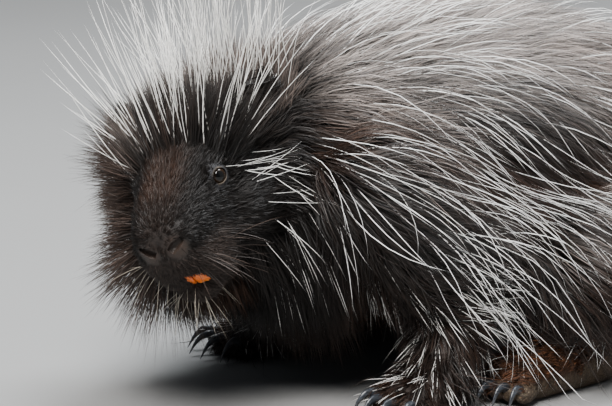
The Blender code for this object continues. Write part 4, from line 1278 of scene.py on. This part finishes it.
def throat_share(p, n):
    """1 under the jaw, on the throat and on the chest between the arms."""
    f, _, u = parts(to_head(p))
    head = head_share(p)
    jaw = head * fade(0.010, 0.024, f) * fade(-0.054, -0.044, u)
    chest = (1 - head) * fade(-0.130, -0.090, p[..., 0]) * fade(-0.30, 0.10, n[..., 2])
    return np.maximum(jaw, chest * (1 - 0.7 * foreleg_share(p)))


def radiating(p, n, up, back, scatter, out=0.85):
    """Directions that fan out from the head's crown."""
    up_axis, back_axis = HEAD_NP[:, 2], -HEAD_NP[:, 0]
    return unit(n * out + up_axis * up + back_axis * back + rng.normal(0, scatter, p.shape))


def tinted(grown, rust, grey):
    """The coat's rust and grey, the grey holding painted sky sheen, with more rust and grey."""
    own_rust, own_grey = markings_and_sheen(grown[0][:, 0], grown[1][:, 0])
    return np.maximum(own_rust, rust), np.maximum(own_grey, grey)


def build_undercoat(ground, fur):
    """Dense dark fur over body, legs and tail, and finer longer hairs through it."""
    p, n = ground.roots(15000, lambda p, n: furry(p, n) * (1 - face_share(p)))
    length = fur_length(p, n) * rng.uniform(0.75, 1.2, len(p))
    grown = walked(ground, p, n, length, length * 0.55, 3, grouped(p, 55, 21, 0.30, 0.10))
    strands("undercoat", ground, grown, 0.00060, TUFT, fur, 2, 9, 0.0029, 0.40, length * 0.05)

    p, n = ground.roots(17000, lambda p, n: furry(p, n) * (1 - face_share(p)) * (1 - 0.5 * crown_share(p, n)))
    length = fur_length(p, n) * rng.uniform(1.05, 1.50, len(p))
    lean = grouped(p, 55, 21, 0.30, 0.16)
    grown = walked(ground, p, n, length, length * rng.uniform(0.34, 0.56, len(p)), 5, lean)
    strands("overcoat", ground, grown, 0.00046, BLADE, fur)


def build_face_fur(ground, fur):
    def face(p, n):
        f, _, u = parts(to_head(p))
        lips = step(0.026, 0.040, f) * step(0.026, 0.034, -u)
        return furry(p, n) * face_share(p) * (1 - nose_share(p)) * (1 + 1.2 * lips)

    p, n = ground.roots(12500, face)
    f, _, u = parts(to_head(p))
    length = 0.0064 + 0.0085 * fade(-0.035, 0.030, f)
    length = length + 0.002 * step(0.045, 0.058, -u) - 0.0020 * step(0.036, 0.050, f)
    length = length * rng.uniform(0.75, 1.25, len(p))
    length = length * (0.46 + 0.54 * step(0.0090, 0.0175, eye_distance(p)[0]))
    lean = grouped(p, 90, 22, 0.10, 0.08)
    grown = walked(ground, p, n, length, length * rng.uniform(0.28, 0.48, len(p)), 2, lean, 0.0006)
    strands("face_fur", ground, grown, 0.00030, BLADE, fur, 2, 5, 0.0013, 0.10, length * 0.05)


def build_guard_hairs(ground, pale, dark):
    """Long pale hairs in arcs over neck, back and flanks, with dark ones among them."""
    def long_hair(p, n):
        x, _, z = parts(p)
        chest = 1 - 0.97 * fade(-0.05, 0.40, n[..., 2]) * fade(-0.11, -0.07, x)
        arm = 1 - 0.88 * fade(-0.120, -0.085, x) * fade(0.125, 0.165, z)
        share = back_share(p, n) * chest * arm * step(0.055, 0.085, z)
        return share * (0.60 + 0.55 * fade(-0.10, 0.06, x)) * (0.4 + 1.2 * wave(p, 70, 31))

    p, n = ground.roots(1080, long_hair)
    length = rng.uniform(0.085, 0.150, len(p)) * (0.80 + 0.20 * step(-0.17, -0.08, p[:, 0]))
    rise = rng.uniform(0.030, 0.058, len(p)) * belly_share(n)
    lean = grouped(p, 28, 23, 0.30, 0.17)
    grown = draped(ground, p, n, length, rise, 7, lean, rng.normal(0, 0.30, len(p)), 2.1)
    strands("guard_hairs", ground, grown, rng.uniform(0.00046, 0.00084, len(grown[0])), HAIR, pale, 3)

    p, n = ground.roots(10500, back_share)
    length = rng.uniform(0.055, 0.105, len(p))
    rise = rng.uniform(0.020, 0.044, len(p)) * belly_share(n)
    lean = grouped(p, 28, 23, 0.30, 0.15)
    grown = draped(ground, p, n, length, rise, 5, lean, rng.normal(0, 0.25, len(p)), 1.6)
    strands("dark_hairs", ground, grown, 0.00046, BLADE, dark)


def build_crown(ground, pale, fur):
    """The crest: pale hairs that fan out over dark fur standing up between the ears."""
    p, n = ground.roots(1900, lambda p, n: crown_share(p, n) * furry(p, n))
    length = rng.uniform(0.024, 0.052, len(p))
    start = radiating(p, n, 0.30, 0.50, 0.10)
    grown = flung(p, n, length, 0.45, 3, 0.2, start=start)
    f, s, _ = parts(to_head(p))
    rear = np.maximum(fade(-0.055, -0.015, f), step(0.010, 0.026, -s))
    strands("crown_fur", ground, grown, 0.00046, TUFT, fur, 2, 8, 0.0028, 0.20, length * 0.07,
            tinted(grown, 0.20 * rear, 0.30 * rear))

    def crest(p, n):
        far = step(0.008, 0.024, -to_head(p)[..., 1])
        return crown_share(p, n) * furry(p, n) * (1 - 0.62 * far)

    p, n = ground.roots(270, crest)
    length = rng.uniform(0.058, 0.126, len(p))
    start = radiating(p, n, 0.50, 0.30, 0.17)
    grown = flung(p, n, length, 0.32, 5, 0.35, start=start, droop=0.10)
    strands("crown_hairs", ground, grown, rng.uniform(0.00044, 0.00074, len(p)), FINE, pale, 3)


def build_cheeks(ground, pale, fur):
    """Pale bristles behind the eyes over the soft fur of cheeks, jaw and throat."""
    def behind_eye(p, n):
        f, s, u = parts(folded(p))
        zone = step(-0.042, -0.028, f) * fade(-0.012, -0.004, f)
        zone = zone * step(-0.038, -0.028, u) * fade(-0.004, 0.005, u)
        return head_share(p) * furry(p, n) * step(0.015, 0.024, s) * zone

    def jaw_corner(p, n):
        f, s, u = parts(folded(p))
        zone = step(-0.055, -0.040, f) * fade(-0.012, 0.000, f)
        return head_share(p) * zone * fade(-0.050, -0.038, u) * step(0.014, 0.024, s)

    for name, count, zone, up, back, out, droop in (
        ("cheek_bristles", 70, behind_eye, -0.54, 0.46, 0.85, -0.16),
        ("jaw_bristles", 46, jaw_corner, -0.85, 0.00, 0.90, 0.55),
    ):
        p, n = ground.roots(count, zone)
        length = rng.uniform(0.030, 0.056, len(p)) + 0.010 * (droop > 0)
        start = radiating(p, n, up, back, 0.10, out)
        grown = flung(p, n, length, 0.30, 5, 0.30, start=start, droop=droop)
        width = rng.uniform(0.00034, 0.00050, len(p))
        strands(name, ground, grown, width, HAIR[[0, 1, 2, 4, 5]], pale, 3)

    p, n = ground.roots(2500, lambda p, n: cheek_share(p, n) * furry(p, n))
    f, s, u = parts(to_head(p))
    far = step(0.006, 0.026, -s)
    low = fade(-0.046, -0.020, u) * (0.55 + 0.30 * far)
    behind = fade(-0.072 + 0.022 * far, -0.034 + 0.026 * far, f)
    length = rng.uniform(0.007, 0.016, len(p)) + (0.028 + 0.011 * far) * np.maximum(behind, low)
    length = length + 0.022 * far
    start = radiating(p, n, -0.05, 0.15 + 0.85 * (1 - far)[:, None], 0.12, 0.55 + 0.30 * far[:, None])
    grown = flung(p, n, length, 0.40, 3, 0.2, start=start, droop=0.15)
    strands("cheek_fur", ground, grown, 0.00040, TUFT, fur, 2, 7, 0.0026, 0.20, length * 0.08,
            tinted(grown, 0.34 * far, 0.16 * far))

    p, n = ground.roots(2400, throat_share)
    length = rng.uniform(0.034, 0.066, len(p)) * (1 - 0.35 * step(-0.010, 0.015, to_head(p)[:, 0]))
    start = unit(lie(p, n) * 0.35 + n * 0.40 + DOWN * 0.80 + rng.normal(0, 0.13, p.shape))
    grown = flung(p, n, length, 0.2, 3, 0.25, start=start, droop=0.35)
    strands("throat_fur", ground, grown, 0.00046, TUFT, fur, 2, 7, 0.0030, 0.3, length * 0.08)


def build_leg_hairs(ground, pale):
    def legs(p, n):
        arm = foreleg_share(p) * step(0.010, 0.020, p[..., 2])
        leg = hindleg_share(p) * step(0.024, 0.034, p[..., 2]) * 0.15
        return np.maximum(arm, leg) * furry(p, n)

    p, n = ground.roots(820, legs)
    length = rng.uniform(0.026, 0.052, len(p)) * (0.6 + 0.4 * step(0.02, 0.06, p[:, 2]))
    lift = np.radians(rng.uniform(22, 44, len(p)))
    grown = flung(p, n, length, 0.3, 4, 0.25, lift, droop=0.1)
    strands("leg_hairs", ground, grown, 0.00056, HAIR[:4], pale, 3)

    def knee(p, n):
        x, _, z = parts(p)
        side = step(-0.050, -0.020, x) * fade(0.020, 0.045, x) * step(0.30, 0.70, np.abs(n[..., 1]))
        return side * step(0.050, 0.062, z) * fade(0.095, 0.115, z)

    def round_knee(p, n):
        return np.tile(unit(np.array([-1.0, 0.0, -0.9])), (len(p), 1))

    p, n = ground.roots(46, knee)
    length = rng.uniform(0.055, 0.092, len(p))
    start = unit(n * 0.50 + np.array([1.0, 0.0, -0.20]) + rng.normal(0, 0.14, p.shape))
    grown = flung(p, n, length, 1.7, 6, 0.15, start=start, way=round_knee)
    strands("knee_hairs", ground, grown, 0.00044, HAIR[:6], pale, 3)


def build_quills(ground, quill):
    """Stiff quills that show through the coat on the rump and along the tail."""
    def rump(p, n):
        tail, up = tail_share(p), n[..., 2]
        low_back = step(0.070, 0.140, p[..., 0]) * (1 - tail) * step(0.10, 0.55, up)
        return np.maximum(low_back, tail * step(-0.10, 0.30, up)) * (1 - hindleg_share(p))

    p, n = ground.roots(900, rump)
    length = rng.uniform(0.035, 0.060, len(p)) * (1 - 0.25 * tail_share(p))
    lift = np.radians(rng.uniform(12, 34, len(p)))
    strands("quills", ground, flung(p, n, length, 0.15, 3, 0.22, lift), 0.00125, HAIR[1:4], quill, 3)


def build_whiskers(ground, pale, fur):
    """Fine whiskers: dark ones on the muzzle's sides and pale ones on lips and chin."""
    def pad(p, n):
        f, s, u = parts(folded(p))
        side = step(0.018, 0.032, f) * step(0.010, 0.015, s)
        return head_share(p) * side * step(-0.046, -0.036, u) * fade(-0.026, -0.014, u)

    def chin(p, n):
        f, s, u = parts(to_head(p))
        low = step(0.049, 0.054, -u) * step(0.010, 0.022, f) * fade(0.002, 0.009, s)
        far_lip = step(0.030, 0.042, f) * step(0.010, 0.016, -s) * fade(-0.034, -0.022, u)
        return head_share(p) * furry(p, n) * np.maximum(low, 0.7 * far_lip)

    for name, count, zone, material, sides in (
        ("pad_whiskers", 90, pad, fur, 2),
        ("chin_whiskers", 48, chin, pale, 3),
    ):
        p, n = ground.roots(count, zone)
        length = rng.uniform(0.016, 0.044, len(p))
        lift = np.radians(rng.uniform(40, 75, len(p)))
        grown = flung(p, n, length, 0.15, 5, 0.4, lift, sink=0.0008, droop=0.35)
        strands(name, ground, grown, 0.00028, FINE, material, sides)


def build_coat(skin):
    ground = Ground(skin)
    fur = fur_material("fur")
    face_fur = fur_material("face_fur", 0.46, 0.16)
    pale = quill_material("guard_hair", 0.14)
    crest = quill_material("crest_hair", 0.10, (0.90, 0.88, 0.84))
    bristle = quill_material("bristle", 0.04, (0.84, 0.83, 0.80))
    whisker = quill_material("whisker", 0.02, (0.50, 0.45, 0.37))
    quill = quill_material("quill", 0.12, (0.83, 0.78, 0.66), 0.25)
    build_undercoat(ground, fur)
    build_face_fur(ground, face_fur)
    build_guard_hairs(ground, pale, fur)
    build_crown(ground, crest, fur)
    build_cheeks(ground, bristle, face_fur)
    build_leg_hairs(ground, bristle)
    build_quills(ground, quill)
    build_whiskers(ground, whisker, fur)


# Floor, light and camera


def build_stage():
    floor = mesh_object("floor", [(-40, -40, 0), (40, -40, 0), (40, 40, 0), (-40, 40, 0)], [(0, 1, 2, 3)])
    floor.location.z = CAD_BOX[0][2] - 0.0002
    nodes = Nodes("floor")
    colour = nodes.mix(nodes.noise(3.0, 2), (0.215, 0.215, 0.213), (0.230, 0.230, 0.227))
    nodes.set(Base_Color=colour, Roughness=0.9, Specular_IOR_Level=0.1)
    floor.data.materials.append(nodes.material)


def area_light(name, place, target, size, power, colour=(1, 1, 1)):
    light = bpy.data.lights.new(name, "AREA")
    light.size = size
    light.energy = power
    light.color = colour
    thing = linked(name, light)
    thing.location = place
    thing.rotation_euler = (Vector(target) - Vector(place)).to_track_quat("-Z", "Y").to_euler()


def build_lights():
    world = bpy.data.worlds.new("studio")
    world.use_nodes = True
    background = world.node_tree.nodes["Background"]
    background.inputs[0].default_value = (0.80, 0.86, 0.95, 1)
    background.inputs[1].default_value = 0.15
    bpy.context.scene.world = world
    area_light("key", (-1.5, -1.2, 2.5), (-0.1, 0, 0.1), 1.45, 222, (1.0, 0.98, 0.96))
    area_light("top", (0.5, 0.1, 2.45), (0.0, 0, 0.1), 1.35, 172, (0.93, 0.97, 1.0))
    area_light("fill", (1.9, -2.0, 1.5), (0.05, 0, 0.1), 4.0, 18)


def build_camera():
    aim = Vector((-0.05227, 0.06452, 0.10759)) + SHIFT
    back = Vector((-0.56104, -0.80125, 0.20791))
    right = Vector((0.81915, -0.57358, 0.0))
    up = Vector((0.11925, 0.17031, 0.97815))
    lens = bpy.data.cameras.new("camera")
    lens.lens = 162.9
    lens.sensor_width = 36
    camera = linked("camera", lens)
    place = Matrix((right, up, back)).transposed().to_4x4()
    place.translation = aim + back * 1.9
    camera.matrix_world = place
    bpy.context.scene.camera = camera


def main():
    skin = build_skin()
    build_coat(skin)
    dress_skin(skin)
    build_eyes()
    build_teeth()
    build_claws()
    build_stage()
    build_lights()
    build_camera()
    bpy.context.view_layer.update()


main()
